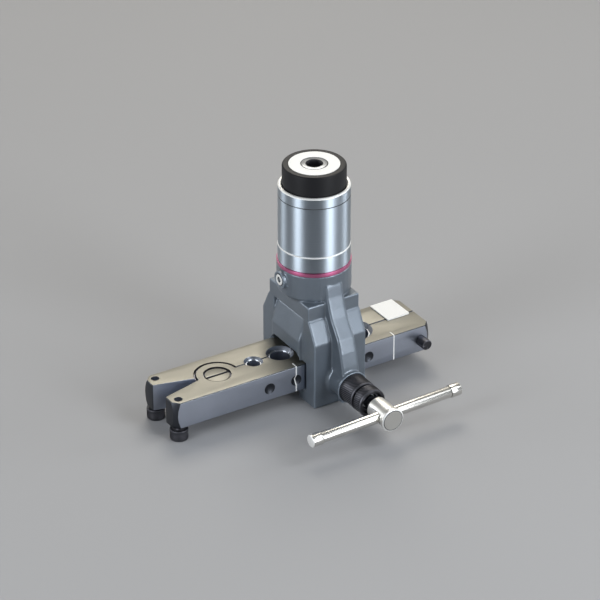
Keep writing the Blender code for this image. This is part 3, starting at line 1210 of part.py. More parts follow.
def make_clutch(hard_steel, spring_steel):
    """Slip clutch: a driven plate on the spindle, a driving plate with teeth in its slots, and a spring."""
    plate_bore = SPINDLE_STUB_RADIUS + RUN_GAP
    driven = ring(
        "clutch_driven_plate", CLUTCH_RADIUS, plate_bore, DRIVEN_PLATE_BOTTOM, DRIVEN_PLATE_TOP, FINE_STEPS,
        hard_steel,
    )
    hub_bore = DRIVE_HUB_RADIUS + RUN_GAP
    driving = ring(
        "clutch_driving_plate", CLUTCH_RADIUS, hub_bore, DRIVING_PLATE_BOTTOM, DRIVING_PLATE_TOP,
        FINE_STEPS, hard_steel,
    )
    tooth_bottom = DRIVEN_PLATE_TOP - CLUTCH_TOOTH_HEIGHT + SEAT_GAP
    slot_reach = CLUTCH_TOOTH_WIDTH / 2 + SEAT_GAP
    tooth_reach = CLUTCH_TOOTH_WIDTH / 2
    tooth_root = hub_bore + SEAT_GAP
    tooth_end = CLUTCH_RADIUS - SEAT_GAP
    for number in range(CLUTCH_TEETH):
        spin = Matrix.Rotation(2 * math.pi * number / CLUTCH_TEETH, 4, "Z")
        slot = block(
            f"clutch_slot_{number}",
            (plate_bore - OVERRUN, -slot_reach, DRIVEN_PLATE_TOP - CLUTCH_TOOTH_HEIGHT),
            (CLUTCH_RADIUS + OVERRUN, slot_reach, DRIVEN_PLATE_TOP + OVERRUN),
        )
        tooth = block(
            f"clutch_tooth_{number}",
            (tooth_root, -tooth_reach, tooth_bottom),
            (tooth_end, tooth_reach, DRIVING_PLATE_TOP - SEAT_GAP),
        )
        slot.matrix_basis = spin
        tooth.matrix_basis = spin
        cut(driven, slot)
        join(driving, tooth)
    hang(driven, "spindle_axis")
    hang(driving, "spindle_axis")
    hang(make_clutch_spring(spring_steel), "spindle_axis")


def make_clutch_spring(spring_steel):
    """Wind the clutch spring from the driving plate up to the knob's crown."""
    low = DRIVING_PLATE_TOP + SEAT_GAP + CLUTCH_WIRE_RADIUS
    high = KNOB_CROWN_UNDERSIDE - SEAT_GAP - CLUTCH_WIRE_RADIUS
    count = CLUTCH_SPRING_TURNS * CLUTCH_SPRING_POINTS
    curve = bpy.data.curves.new("clutch_spring", "CURVE")
    curve.dimensions = "3D"
    curve.bevel_depth = CLUTCH_WIRE_RADIUS
    curve.bevel_resolution = 1
    curve.use_fill_caps = True
    spline = curve.splines.new("POLY")
    spline.points.add(count)
    for step, point in enumerate(spline.points):
        angle = 2 * math.pi * step / CLUTCH_SPRING_POINTS
        height = low + (high - low) * step / count
        reach = CLUTCH_SPRING_RADIUS
        point.co = (reach * math.cos(angle), reach * math.sin(angle), height, 1)
    drawn = bpy.data.objects.new("clutch_spring_path", curve)
    bpy.context.scene.collection.objects.link(drawn)
    return curve_to_mesh("clutch_spring", drawn, Matrix.Identity(4), spring_steel)


def add_frames():
    """Add the tool frame and an empty on each joint's axis."""
    left_reach = max(BAR_LEFT_REACH, FOOT_RADIUS - FOOT_PLACE)
    centre_x = (left_reach - BAR_RIGHT_REACH) / 2
    centre_y = (HUB_OUTER_REACH - BACK_RIB_REACH) / 2
    add_frame("tool_frame", (centre_x, centre_y, 0))
    add_frame("spindle_axis", (0, 0, 0))
    add_frame("cone_axis", (CONE_ECCENTRICITY, 0, 0))
    add_frame("die_front_axis", (0, 0, BAR_MIDDLE))
    add_frame("die_pivot_axis", (PIVOT_PLACE, PIVOT_SHIFT, BAR_MIDDLE))
    tilt = Matrix.Rotation(TBAR_TILT, 4, "Y")
    add_frame("clamp_axis", (0, 0, CLAMP_HEIGHT))
    add_frame("handle_axis", (0, 0, CLAMP_HEIGHT), tilt)
    add_frame("tbar_axis", (0, -TBAR_PLACE, CLAMP_HEIGHT), tilt)


def smooth_round_faces():
    """Shade the meshes of all parts smooth, with sharp edges kept."""
    for item in bpy.data.collections[PARTS_NAME].objects:
        if item.type == "MESH" and item.data.polygons:
            item.data.shade_smooth()
            item.data.set_sharp_from_angle(angle=math.radians(30))


def main():
    """Build the whole tool."""
    clear_scene()
    collection(PARTS_NAME)
    collection("cutters")
    add_frames()
    paint = finish("cast_paint", "5f6a74", 0.42, 0.35)
    phosphate = finish("phosphated_steel", "73767f", 0.45, 0.8)
    black_steel = finish("black_oxide_steel", "3a3737", 0.45, 0.7)
    bright_steel = finish("ground_steel", "b9bcc0", 0.25, 1.0)
    hard_steel = finish("hardened_steel", "8a8d92", 0.3, 1.0)
    satin_metal = finish("satin_aluminium", "97a1ab", 0.28, 1.0)
    nickel = finish("nickel_plate", "e8e2d0", 0.2, 1.0)
    bronze = finish("bronze", "b08a4e", 0.35, 1.0)
    rose_ring = finish("rose_anodised_ring", "c56a93", 0.35, 0.6)
    black_polymer = finish("black_polymer", "2c2b30", 0.5, 0.0)
    rubber = finish("black_rubber", "1e1e20", 0.8, 0.0)
    label_film = finish("label_film", "f1f0ea", 0.4, 0.0)
    spring_steel = finish("spring_steel", "6d6f73", 0.35, 1.0)
    yoke = make_yoke(paint)
    front, back = make_die_halves(phosphate)
    hang(front, "die_front_axis")
    hang(back, "die_pivot_axis")
    make_bar_pins(phosphate, black_steel, bright_steel, label_film)
    make_clamp(black_steel, bright_steel, nickel)
    make_cone_group(hard_steel, bronze, black_steel)
    make_feed(hard_steel, bronze, bright_steel)
    make_sleeves(satin_metal, rose_ring)
    make_knob(black_polymer, rubber, hard_steel, label_film)
    make_clutch(hard_steel, spring_steel)
    for item in (yoke, bpy.data.objects["clamp_bush"], bpy.data.objects["clamp_lock_ring"]):
        item.parent = bpy.data.objects["tool_frame"]
    smooth_round_faces()


main()
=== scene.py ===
"""Flaring tool on a studio floor, laid out as a Blender add-on and run as a script.

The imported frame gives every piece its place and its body. The pieces here are the same parts with their
rounded edges, knurls, threads and finishes. Lengths are in metres and Z is up.
"""

import json
import math

import bmesh
import bpy
from mathutils import Matrix, Vector
from mathutils.bvhtree import BVHTree


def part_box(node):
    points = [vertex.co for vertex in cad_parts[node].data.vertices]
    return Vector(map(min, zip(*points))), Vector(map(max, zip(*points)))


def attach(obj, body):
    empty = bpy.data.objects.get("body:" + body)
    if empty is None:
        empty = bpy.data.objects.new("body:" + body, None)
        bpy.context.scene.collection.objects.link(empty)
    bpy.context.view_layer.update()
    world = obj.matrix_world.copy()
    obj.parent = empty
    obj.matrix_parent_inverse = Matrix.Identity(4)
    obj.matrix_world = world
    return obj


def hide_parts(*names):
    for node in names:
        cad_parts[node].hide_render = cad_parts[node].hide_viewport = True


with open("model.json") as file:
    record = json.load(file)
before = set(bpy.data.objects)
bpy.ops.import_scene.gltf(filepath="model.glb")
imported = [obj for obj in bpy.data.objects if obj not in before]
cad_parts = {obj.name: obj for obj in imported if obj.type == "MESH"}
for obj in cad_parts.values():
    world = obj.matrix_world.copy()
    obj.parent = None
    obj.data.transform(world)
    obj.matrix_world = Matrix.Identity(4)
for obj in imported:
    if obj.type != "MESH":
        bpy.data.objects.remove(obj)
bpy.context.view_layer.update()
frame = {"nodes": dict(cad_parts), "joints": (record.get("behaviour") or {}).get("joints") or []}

bl_info = {
    "name": "Flaring Tool",
    "version": (1, 0, 0),
    "blender": (4, 5, 0),
    "location": "3D View > Sidebar > Flaring Tool",
    "description": "Builds a flaring tool with a split die bar, a clutched feed screw and a T-handle clamp",
    "category": "Add Mesh",
}

JOINTS = {joint["name"]: joint for joint in frame["joints"]}
NODES = frame["nodes"]
MM = 0.001
# Two lengths that differ by less are the same
NEAR = 0.0001 * MM
SPINDLE = Vector(JOINTS["drive_turn"]["pos_m"])
CONE_AXIS = Vector(JOINTS["cone_spin"]["pos_m"])
CLAMP = Vector(JOINTS["clamp_turn"]["pos_m"])
PIVOT = Vector(JOINTS["die_open"]["pos_m"])
TBAR_AXIS = Vector(JOINTS["tbar_slide"]["axis"])

# Place along the bar, tube diameter and flare diameter of each die hole
DIE_HOLES = tuple(
    (place * MM, tube * MM, flare * MM) for place, tube, flare in (
        (-33.0, 6.35, 9.1), (-18.7, 9.525, 13.2), (0.0, 12.7, 16.6), (21.2, 15.875, 19.7),
    )
)
# Angle in degrees over which an edge of the die bar stays sharp
BAR_CREASE = 20


def hex_colour(code):
    """Turn an sRGB hex colour into the linear values that Blender takes."""
    channels = [int(code[i:i + 2], 16) / 255 for i in (0, 2, 4)]
    linear = [c / 12.92 if c <= 0.04045 else ((c + 0.055) / 1.055) ** 2.4 for c in channels]
    return (*linear, 1.0)


def length_setting(name, description, usual, least, most):
    """Describe a length that a user can change, from its values in millimetres."""
    return bpy.props.FloatProperty(
        name=name, description=description, default=usual * MM, min=least * MM, max=most * MM,
        unit="LENGTH", precision=5,
    )


class FlaringToolSizes(bpy.types.PropertyGroup):
    """Sizes of the details that the frame leaves plain."""

    segments: bpy.props.IntProperty(
        name="Turned segments", description="Segments round a turned piece", default=96, min=24, max=256
    )
    cast_grid: length_setting("Casting grid", "Grid of the casting's surface mesh", 0.40, 0.2, 2)
    cast_softening: bpy.props.IntProperty(
        name="Casting softening", description="Rounds of smoothing that give the casting its fillets",
        default=5, min=0, max=30,
    )
    machined_edge: length_setting(
        "Machined edge", "Width of the broken edges on the die bar", 0.28, 0.05, 1
    )
    # Real ridges would be about 0.8 mm apart, and these are set further apart so that they show
    knurl_pitch: length_setting("Knurl pitch", "Distance between the knurl's ridges", 1.25, 0.4, 2)
    knurl_depth: length_setting("Knurl depth", "Depth of the knurl's grooves", 0.36, 0.05, 0.6)
    thread_pitch: length_setting(
        "Clamp thread pitch", "Advance of the clamp screw in one turn", 1.25, 0.5, 3
    )


def colour_setting(name, description, code):
    """Describe a colour that a user can change, with an sRGB hex default."""
    return bpy.props.FloatVectorProperty(
        name=name, description=description, default=hex_colour(code), subtype="COLOR", size=4, min=0,
        max=1,
    )


class FlaringToolColours(bpy.types.PropertyGroup):
    """Colours of the tool's finishes and of the studio."""

    casting: colour_setting("Casting", "Enamel on the cast yoke", "6a737d")
    die_steel: colour_setting("Die steel", "Phosphated steel of the die bar", "aab0bd")
    # The die top's warm tone stands in for a warm reflection on the bar's top
    die_top: colour_setting("Die top", "Ground and lightly coated top of the die bar", "8f8d85")
    blackened: colour_setting("Blackened steel", "Collar, feet and pins", "38383c")
    turned: colour_setting("Turned sleeve", "Satin turned aluminium", "bcc6d0")
    nickel: colour_setting("Nickel plate", "Handle and hub", "d3d1cc")
    bright: colour_setting("Bright steel", "Ground and hardened steel", "b9bcc0")
    bronze: colour_setting("Bronze", "Feed nut and cone bush", "b08a4e")
    rose: colour_setting("Rose ring", "Anodised marking ring", "c86892")
    polymer: colour_setting("Knob polymer", "Moulded knob", "151518")
    # The label's near-white also paints the highlight rims
    label: colour_setting("Label", "Blank labels", "fafaf8")
    floor: colour_setting("Floor", "Studio floor", "a2a2a4")


def add_node(tree, kind, inputs=None, **settings):
    """Add a node with its settings; inputs maps a socket to a value or to the output that feeds it."""
    node = tree.nodes.new(kind)
    for name, value in settings.items():
        setattr(node, name, value)
    for name, value in (inputs or {}).items():
        if isinstance(value, bpy.types.NodeSocket):
            tree.links.new(value, node.inputs[name])
        else:
            node.inputs[name].default_value = value
    return node


def per_metre(millimetres):
    """Give the texture scale whose features are that many millimetres apart."""
    return 1 / (millimetres * MM)


def start_material(name, colour, metallic, roughness):
    """Start a material, and return it, its tree, its shader and the output for places on the piece."""
    material = bpy.data.materials.new(name)
    material.use_nodes = True
    tree = material.node_tree
    shader = tree.nodes["Principled BSDF"]
    shader.inputs["Base Color"].default_value = colour
    shader.inputs["Metallic"].default_value = metallic
    shader.inputs["Roughness"].default_value = roughness
    place = add_node(tree, "ShaderNodeTexCoord").outputs["Object"]
    return material, tree, shader, place


def tint(colour, share):
    """Scale a colour's three channels."""
    return (*[min(1.0, channel * share) for channel in colour[:3]], 1.0)


def cast_enamel(colour):
    """Stoved enamel on a sand casting: satin, with the sand's grain, and sharp edges painted lighter,
    partly as worn paint and partly as a painted highlight.
    """
    material, tree, shader, place = start_material("cast_enamel", colour, 0.45, 0.36)
    cloud = add_node(tree, "ShaderNodeTexNoise", {"Vector": place, "Scale": per_metre(9), "Detail": 3.0})
    shades = add_node(tree, "ShaderNodeMix", {
        "Factor": cloud.outputs["Fac"], "A": tint(colour, 0.86), "B": tint(colour, 1.14),
    }, data_type="RGBA")
    # Sharp edges are mixed towards a colour 2.6 times lighter: partly worn paint, partly a painted
    # highlight
    edge = add_node(tree, "ShaderNodeNewGeometry").outputs["Pointiness"]
    worn_and_highlit = add_node(tree, "ShaderNodeMapRange", {
        "Value": edge, "From Min": 0.515, "From Max": 0.56, "To Min": 0.0, "To Max": 0.55,
    })
    paint = add_node(tree, "ShaderNodeMix", {
        "Factor": worn_and_highlit.outputs["Result"], "A": shades.outputs["Result"], "B": tint(colour, 2.6),
    }, data_type="RGBA")
    tree.links.new(paint.outputs["Result"], shader.inputs["Base Color"])
    # The sand's grain is really about 0.3 mm wide, and is drawn 0.9 mm wide so that it shows
    sand = add_node(tree, "ShaderNodeTexNoise", {"Vector": place, "Scale": per_metre(0.9), "Detail": 4.0})
    gloss = add_node(tree, "ShaderNodeMapRange", {
        "Value": sand.outputs["Fac"], "To Min": 0.28, "To Max": 0.44,
    })
    tree.links.new(gloss.outputs["Result"], shader.inputs["Roughness"])
    shader.inputs["Coat Weight"].default_value = 0.35
    shader.inputs["Coat Roughness"].default_value = 0.22
    grain = add_node(tree, "ShaderNodeBump", {
        "Height": sand.outputs["Fac"], "Strength": 0.35, "Distance": 0.12 * MM,
    })
    tree.links.new(grain.outputs["Normal"], shader.inputs["Normal"])
    return material


def phosphated_steel(name, colour, smooth, rough):
    """Phosphated die steel: an even grey crystal coat that scatters a satin shine."""
    material, tree, shader, place = start_material(name, colour, 1.0, rough)
    cloud = add_node(tree, "ShaderNodeTexNoise", {"Vector": place, "Scale": per_metre(14), "Detail": 4.0})
    shades = add_node(tree, "ShaderNodeMix", {
        "Factor": cloud.outputs["Fac"], "A": tint(colour, 0.84), "B": tint(colour, 1.12),
    }, data_type="RGBA")
    tree.links.new(shades.outputs["Result"], shader.inputs["Base Color"])
    # Real crystals are too fine to see, and are drawn 0.5 mm apart so that they show
    crystal = add_node(tree, "ShaderNodeTexNoise", {
        "Vector": place, "Scale": per_metre(0.5), "Detail": 5.0,
    })
    gloss = add_node(tree, "ShaderNodeMapRange", {
        "Value": crystal.outputs["Fac"], "To Min": smooth, "To Max": rough,
    })
    tree.links.new(gloss.outputs["Result"], shader.inputs["Roughness"])
    grain = add_node(tree, "ShaderNodeBump", {
        "Height": crystal.outputs["Fac"], "Strength": 0.25, "Distance": 0.06 * MM,
    })
    tree.links.new(grain.outputs["Normal"], shader.inputs["Normal"])
    return material


def blackened_steel(colour):
    """Black oxide on steel: nearly black, with an oily low shine, and crests painted lighter, partly as
    polish from handling and partly as a painted highlight.
    """
    material, tree, shader, place = start_material("blackened_steel", colour, 0.8, 0.34)
    oil = add_node(tree, "ShaderNodeTexNoise", {"Vector": place, "Scale": per_metre(3), "Detail": 3.0})
    gloss = add_node(tree, "ShaderNodeMapRange", {
        "Value": oil.outputs["Fac"], "To Min": 0.34, "To Max": 0.5,
    })
    tree.links.new(gloss.outputs["Result"], shader.inputs["Roughness"])
    shades = add_node(tree, "ShaderNodeMix", {
        "Factor": oil.outputs["Fac"], "A": tint(colour, 0.8), "B": tint(colour, 1.35),
    }, data_type="RGBA")
    # Knurl crests are mixed towards a colour 6 times lighter: partly polish from handling, partly a painted
    # highlight
    edge = add_node(tree, "ShaderNodeNewGeometry").outputs["Pointiness"]
    worn_and_highlit = add_node(tree, "ShaderNodeMapRange", {
        "Value": edge, "From Min": 0.52, "From Max": 0.58, "To Min": 0.0, "To Max": 0.8,
    })
    crests = add_node(tree, "ShaderNodeMix", {
        "Factor": worn_and_highlit.outputs["Result"], "A": shades.outputs["Result"], "B": tint(colour, 6.0),
    }, data_type="RGBA")
    tree.links.new(crests.outputs["Result"], shader.inputs["Base Color"])
    return material


def turned_metal(name, colour, roughness, stretch, clear=0.0):
    """Lathe-turned metal: fine grooves round the axis draw every light into a streak along the piece.

    clear is the weight of a clear sealed layer, such as anodising leaves.
    """
    material, tree, shader, place = start_material(name, colour, 1.0, roughness)
    shader.inputs["Anisotropic"].default_value = stretch
    shader.inputs["Anisotropic Rotation"].default_value = 0.25
    shader.inputs["Coat Weight"].default_value = clear
    shader.inputs["Coat Roughness"].default_value = 0.2
    round_axis = add_node(tree, "ShaderNodeTangent", direction_type="RADIAL", axis="Z")
    tree.links.new(round_axis.outputs["Tangent"], shader.inputs["Tangent"])
    split = add_node(tree, "ShaderNodeSeparateXYZ", {"Vector": place})
    # Tool marks are really 0.1 mm apart, and drawn 0.35 mm apart so that they show
    marks = add_node(tree, "ShaderNodeTexNoise", {
        "W": split.outputs["Z"], "Scale": per_metre(0.35), "Detail": 2.0,
    }, noise_dimensions="1D")
    shades = add_node(tree, "ShaderNodeMix", {
        "Factor": marks.outputs["Fac"], "A": tint(colour, 0.93), "B": tint(colour, 1.06),
    }, data_type="RGBA")
    tree.links.new(shades.outputs["Result"], shader.inputs["Base Color"])
    grooves = add_node(tree, "ShaderNodeBump", {
        "Height": marks.outputs["Fac"], "Strength": 0.12, "Distance": 0.02 * MM,
    })
    tree.links.new(grooves.outputs["Normal"], shader.inputs["Normal"])
    return material


def plated_metal(name, colour, roughness):
    """Polished and plated metal: a clear reflection with faint waves left by the polishing wheel."""
    material, tree, shader, place = start_material(name, colour, 1.0, roughness)
    waves = add_node(tree, "ShaderNodeTexNoise", {"Vector": place, "Scale": per_metre(5), "Detail": 2.0})
    gloss = add_node(tree, "ShaderNodeMapRange", {
        "Value": waves.outputs["Fac"], "To Min": roughness * 0.8, "To Max": roughness * 1.3,
    })
    tree.links.new(gloss.outputs["Result"], shader.inputs["Roughness"])
    polish = add_node(tree, "ShaderNodeBump", {
        "Height": waves.outputs["Fac"], "Strength": 0.015, "Distance": 0.1 * MM,
    })
    tree.links.new(polish.outputs["Normal"], shader.inputs["Normal"])
    return material


def moulded_polymer(name, colour, roughness, grain_size):
    """Injection-moulded polymer: a fine spark-eroded texture breaks up the shine."""
    material, tree, shader, place = start_material(name, colour, 0.0, roughness)
    shader.inputs["Specular IOR Level"].default_value = 0.3
    # The grain's size is in millimetres, and coarser than a real one so that it shows
    grain = add_node(tree, "ShaderNodeTexNoise", {
        "Vector": place, "Scale": per_metre(grain_size), "Detail": 3.0,
    })
    gloss = add_node(tree, "ShaderNodeMapRange", {
        "Value": grain.outputs["Fac"], "To Min": roughness * 0.85, "To Max": roughness * 1.2,
    })
    tree.links.new(gloss.outputs["Result"], shader.inputs["Roughness"])
    texture = add_node(tree, "ShaderNodeBump", {
        "Height": grain.outputs["Fac"], "Strength": 0.25, "Distance": 0.05 * MM,
    })
    tree.links.new(texture.outputs["Normal"], shader.inputs["Normal"])
    return material


def bare_edge_and_highlight(name, colour, smooth, rough):
    """Bright metal for broken edges, lands and rims: on the bar it is partly bare machined steel and partly
    a painted highlight; in near-white it is only a painted highlight.
    """
    material, tree, shader, place = start_material(name, colour, 1.0, rough)
    wear = add_node(tree, "ShaderNodeTexNoise", {"Vector": place, "Scale": per_metre(2.5), "Detail": 3.0})
    gloss = add_node(tree, "ShaderNodeMapRange", {
        "Value": wear.outputs["Fac"], "To Min": smooth, "To Max": rough,
    })
    tree.links.new(gloss.outputs["Result"], shader.inputs["Roughness"])
    return material


MATERIALS = {}


def make_materials(colours):
    """Make every finish once; those of the record go by the name of their slot."""
    MATERIALS.update({
        "cast_paint": cast_enamel(colours.casting),
        "phosphated_steel": phosphated_steel("phosphated_steel", colours.die_steel, 0.30, 0.44),
        # The top's warm, darker tone stands in for the warm reflection on the bar's top; its roughness is
        # that of a ground face
        "ground_top_warm_reflection": phosphated_steel("ground_phosphated_steel_warm_reflection", colours.die_top, 0.42, 0.56),
        # Painted shade: the bar's end chamfers, dimples and joint crease, and the line round the hub's end
        # disc
        "phosphate_painted_shade": phosphated_steel(
            "phosphated_steel_painted_shade", tint(colours.die_steel, 0.14), 0.34, 0.48
        ),
        "black_oxide_steel": blackened_steel(colours.blackened),
        "satin_aluminium": turned_metal("satin_turned_aluminium", colours.turned, 0.5, 0.95),
        "rose_anodised_ring": turned_metal("rose_anodised_aluminium", colours.rose, 0.4, 0.6, clear=1.0),
        "bronze": turned_metal("turned_bronze", colours.bronze, 0.35, 0.5),
        "nickel_plate": plated_metal("nickel_plate", colours.nickel, 0.22),
        # A lighter copy of the nickel: a painted sheen for the hub
        "nickel_painted_sheen": plated_metal("nickel_plate_painted_sheen", tint(colours.nickel, 1.35), 0.36),
        "satin_face": plated_metal("satin_faced_nickel", tint(colours.nickel, 0.85), 0.42),
        "ground_steel": plated_metal("ground_steel", colours.bright, 0.22),
        "hardened_steel": plated_metal("hardened_steel", tint(colours.bright, 0.6), 0.28),
        "spring_steel": plated_metal("spring_steel", tint(colours.bright, 0.4), 0.35),
        # The broken edges and lands are bare steel made half again brighter: partly bare metal, partly a
        # painted highlight
        "bare_edge_and_highlight": bare_edge_and_highlight("bare_machined_steel_and_highlight", tint(colours.bright, 1.5), 0.24, 0.42),
        # Highlight rims are painted in the label's near-white
        "painted_highlight_rim": bare_edge_and_highlight("painted_highlight_white_rim", colours.label, 0.55, 0.7),
        "black_polymer": moulded_polymer("moulded_black_nylon", colours.polymer, 0.46, 0.4),
        "black_rubber": moulded_polymer("black_nitrile_rubber", tint(colours.polymer, 0.5), 0.7, 0.6),
        "label_film": moulded_polymer("matt_label_film", colours.label, 0.5, 1.2),
    })


def facing(direction, place):
    """Place a turned shape at a point, with its own Z turned to a direction."""
    turn = Vector((0, 0, 1)).rotation_difference(Vector(direction)).to_matrix().to_4x4()
    return Matrix.Translation(place) @ turn


def towards(azimuth, elevation):
    """Give the direction of a light or a lens, from its degrees round from the front and up."""
    azimuth, elevation = math.radians(azimuth), math.radians(elevation)
    return Vector((
        math.sin(azimuth) * math.cos(elevation), -math.cos(azimuth) * math.cos(elevation),
        math.sin(elevation),
    ))


def finished_mesh(name, shape):
    """Turn a shape under construction into a mesh."""
    mesh = bpy.data.meshes.new(name)
    shape.to_mesh(mesh)
    shape.free()
    return mesh


def corner_arc(before, corner, after, radius, steps=3):
    """Give the points that round one corner of a profile."""
    a, b, c = (Vector(point[:2]) for point in (before, corner, after))
    into, out = (a - b).normalized(), (c - b).normalized()
    opening = into.angle(out)
    reach = min(radius / math.tan(opening / 2), (a - b).length * 0.45, (c - b).length * 0.45)
    start, end = b + into * reach, b + out * reach
    points = []
    for step in range(steps + 1):
        t = step / steps
        point = start * (1 - t) ** 2 + b * 2 * t * (1 - t) + end * t ** 2
        points.append((point.x, point.y))
    return points


def rounded(profile, closed=True):
    """Round each corner of a profile that carries a third value, the radius."""
    points = []
    count = len(profile)
    for i, point in enumerate(profile):
        ends = not closed and i in (0, count - 1)
        if len(point) == 3 and point[2] > 0 and not ends:
            points += corner_arc(profile[i - 1], point, profile[(i + 1) % count], point[2])
        else:
            points.append(tuple(point[:2]))
    return points


def turned_mesh(name, profile, segments, knurl=None):
    """Turn a profile of (radius, height) pairs that runs down its outer side.

    knurl is (top, bottom, pitch, depth): between those heights the surface carries a diamond knurl.
    """
    open_ended = profile[0][0] == 0 or profile[-1][0] == 0
    points = rounded(profile, closed=not open_ended)
    ridges = [0.0] * len(points)
    parities = [0] * len(points)
    if knurl:
        points, ridges, parities = add_knurl(points, *knurl)
    shape = bmesh.new()
    rows = []
    for (radius, height), ridge, parity in zip(points, ridges, parities):
        if radius < NEAR:
            rows.append([shape.verts.new((0, 0, height))])
            continue
        row = []
        for i in range(segments):
            angle = 2 * math.pi * i / segments
            reach = radius - (ridge if (i + parity) % 2 else 0)
            row.append(shape.verts.new((reach * math.cos(angle), reach * math.sin(angle), height)))
        rows.append(row)
    pairs = list(zip(rows, rows[1:]))
    if not open_ended:
        pairs.append((rows[-1], rows[0]))
    for upper, lower in pairs:
        join_rows(shape, upper, lower, segments)
    for row in (rows[0], rows[-1]):
        if open_ended and len(row) > 1:
            shape.faces.new(row)
    bmesh.ops.recalc_face_normals(shape, faces=shape.faces)
    return finished_mesh(name, shape)


def join_rows(shape, upper, lower, segments):
    """Fill the band between two rings of points, or between a ring and a point."""
    for i in range(segments):
        j = (i + 1) % segments
        if len(upper) == 1 and len(lower) == 1:
            return
        if len(upper) == 1:
            shape.faces.new((upper[0], lower[i], lower[j]))
        elif len(lower) == 1:
            shape.faces.new((upper[i], lower[0], upper[j]))
        else:
            shape.faces.new((upper[i], lower[i], lower[j], upper[j]))


def knurl_segments(radius, sizes):
    """Give the segments that set a knurl's ridges a pitch apart round a radius."""
    return 2 * round(2 * math.pi * radius / sizes.knurl_pitch)


def add_knurl(points, top, bottom, pitch, depth):
    """Insert the rows of a diamond knurl into the profile's outer side."""
    kept, ridges, parities = [], [], []
    done = False
    for point, after in zip(points, points[1:] + points[:1]):
        kept.append(point)
        ridges.append(0.0)
        parities.append(0)
        straight = abs(point[0] - after[0]) < NEAR
        if straight and point[1] >= top - NEAR and after[1] <= bottom + NEAR and not done:
            count = max(2, round((top - bottom) / (pitch / 2)))
            for row in range(count + 1):
                share = row / count
                border = row in (0, count)
                kept.append((point[0], top + (bottom - top) * share))
                ridges.append(0.0 if border else depth)
                parities.append(row % 2)
            done = True
    return kept, ridges, parities


def add_piece(name, mesh, slot, body, nodes=(), matrix=Matrix.Identity(4), crease=32, finish=None):
    """Add a piece that rides on a body and stands for the frame's nodes.

    It has the finish of its slot in the record, or another one named by finish.
    """
    mesh.transform(matrix)
    mesh.materials.clear()
    mesh.materials.append(MATERIALS[finish or slot])
    mesh.shade_smooth()
    mesh.set_sharp_from_angle(angle=math.radians(crease))
    piece = bpy.data.objects.new(name, mesh)
    bpy.context.scene.collection.objects.link(piece)
    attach(piece, body)
    if nodes:
        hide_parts(*nodes)
    return piece


def recoat(piece, finish, wanted):
    """Give another finish to the faces that wanted picks by their middle and normal."""
    piece.data.materials.append(MATERIALS[finish])
    last = len(piece.data.materials) - 1
    for face in piece.data.polygons:
        if wanted(face.center, face.normal):
            face.material_index = last


def applied(piece):
    """Turn a piece's modifiers into mesh."""
    depsgraph = bpy.context.evaluated_depsgraph_get()
    depsgraph.update()
    mesh = bpy.data.meshes.new_from_object(piece.evaluated_get(depsgraph), depsgraph=depsgraph)
    old = piece.data
    piece.modifiers.clear()
    piece.data = mesh
    bpy.data.meshes.remove(old)
    return piece


def welded_copy(node):
    """Copy a node's mesh, with its faces joined, its flats made whole and its stored normals dropped."""
    mesh = NODES[node].data.copy()
    stored = mesh.attributes.get("custom_normal")
    if stored:
        mesh.attributes.remove(stored)
    shape = bmesh.new()
    shape.from_mesh(mesh)
    bmesh.ops.remove_doubles(shape, verts=shape.verts, dist=0.001 * MM)
    bmesh.ops.dissolve_limit(
        shape, angle_limit=math.radians(0.4), use_dissolve_boundaries=False, verts=shape.verts,
        edges=shape.edges,
    )
    bmesh.ops.recalc_face_normals(shape, faces=shape.faces)
    shape.to_mesh(mesh)
    shape.free()
    mesh.name = node + "_dressed"
    return mesh


def dressed(name, node, slot, body, edge=0.0, crease=32, bright_edges=False, finish=None):
    """Stand a copy of a node in for it, with its edges broken, and, where asked, bright edges that are
    partly bare metal and partly a painted highlight.
    """
    piece = add_piece(name, welded_copy(node), slot, body, (node,), crease=crease, finish=finish)
    if edge > 0:
        bevel = piece.modifiers.new("Broken edges", "BEVEL")
        if bright_edges:
            piece.data.materials.append(MATERIALS["bare_edge_and_highlight"])
            bevel.material = 1
        bevel.width = edge
        bevel.segments = 2
        bevel.limit_method = "ANGLE"
        bevel.angle_limit = math.radians(34)
        bevel.use_clamp_overlap = True
        applied(piece)
        piece.data.shade_smooth()
        piece.data.set_sharp_from_angle(angle=math.radians(crease))
    return piece


def finish_nodes(slots):
    """Give the nodes that keep their own shape their finish."""
    for node, slot in slots.items():
        mesh = NODES[node].data
        mesh.materials.clear()
        mesh.materials.append(MATERIALS[slot])


def upright(node):
    """Give the radius, bottom and top of a node that is turned about a vertical axis."""
    low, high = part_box(node)
    return (high.x - low.x) / 2, low.z, high.z


def forward(node):
    """Give the radius of a node on the clamp's axis, and its near and far reach from the spindle."""
    low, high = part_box(node)
    return (high.z - low.z) / 2, SPINDLE.y - high.y, SPINDLE.y - low.y


def on_spindle():
    """Place a turned piece on the spindle's axis."""
    return Matrix.Translation((SPINDLE.x, SPINDLE.y, 0))


def on_clamp():
    """Place a turned piece on the clamp's axis, facing the handle."""
    return facing((0, -1, 0), (CLAMP.x, SPINDLE.y, CLAMP.z))


class FLARING_OT_yoke(bpy.types.Operator):
    """Cast the yoke: the frame's solid, resurfaced so that its corners get cast fillets."""

    bl_idname = "flaring.yoke"
    bl_label = "Yoke casting"

    def execute(self, context):
        sizes = context.scene.flaring_sizes
        piece = add_piece("yoke_casting", welded_copy("yoke"), "cast_paint", "yoke", ("yoke",), crease=180)
        remesh = piece.modifiers.new("Cast skin", "REMESH")
        remesh.mode = "VOXEL"
        remesh.voxel_size = sizes.cast_grid
        remesh.adaptivity = 0
        remesh.use_smooth_shade = True
        soften = piece.modifiers.new("Fillets", "SMOOTH")
        soften.factor = 0.5
        soften.iterations = sizes.cast_softening
        applied(piece)
        return {"FINISHED"}


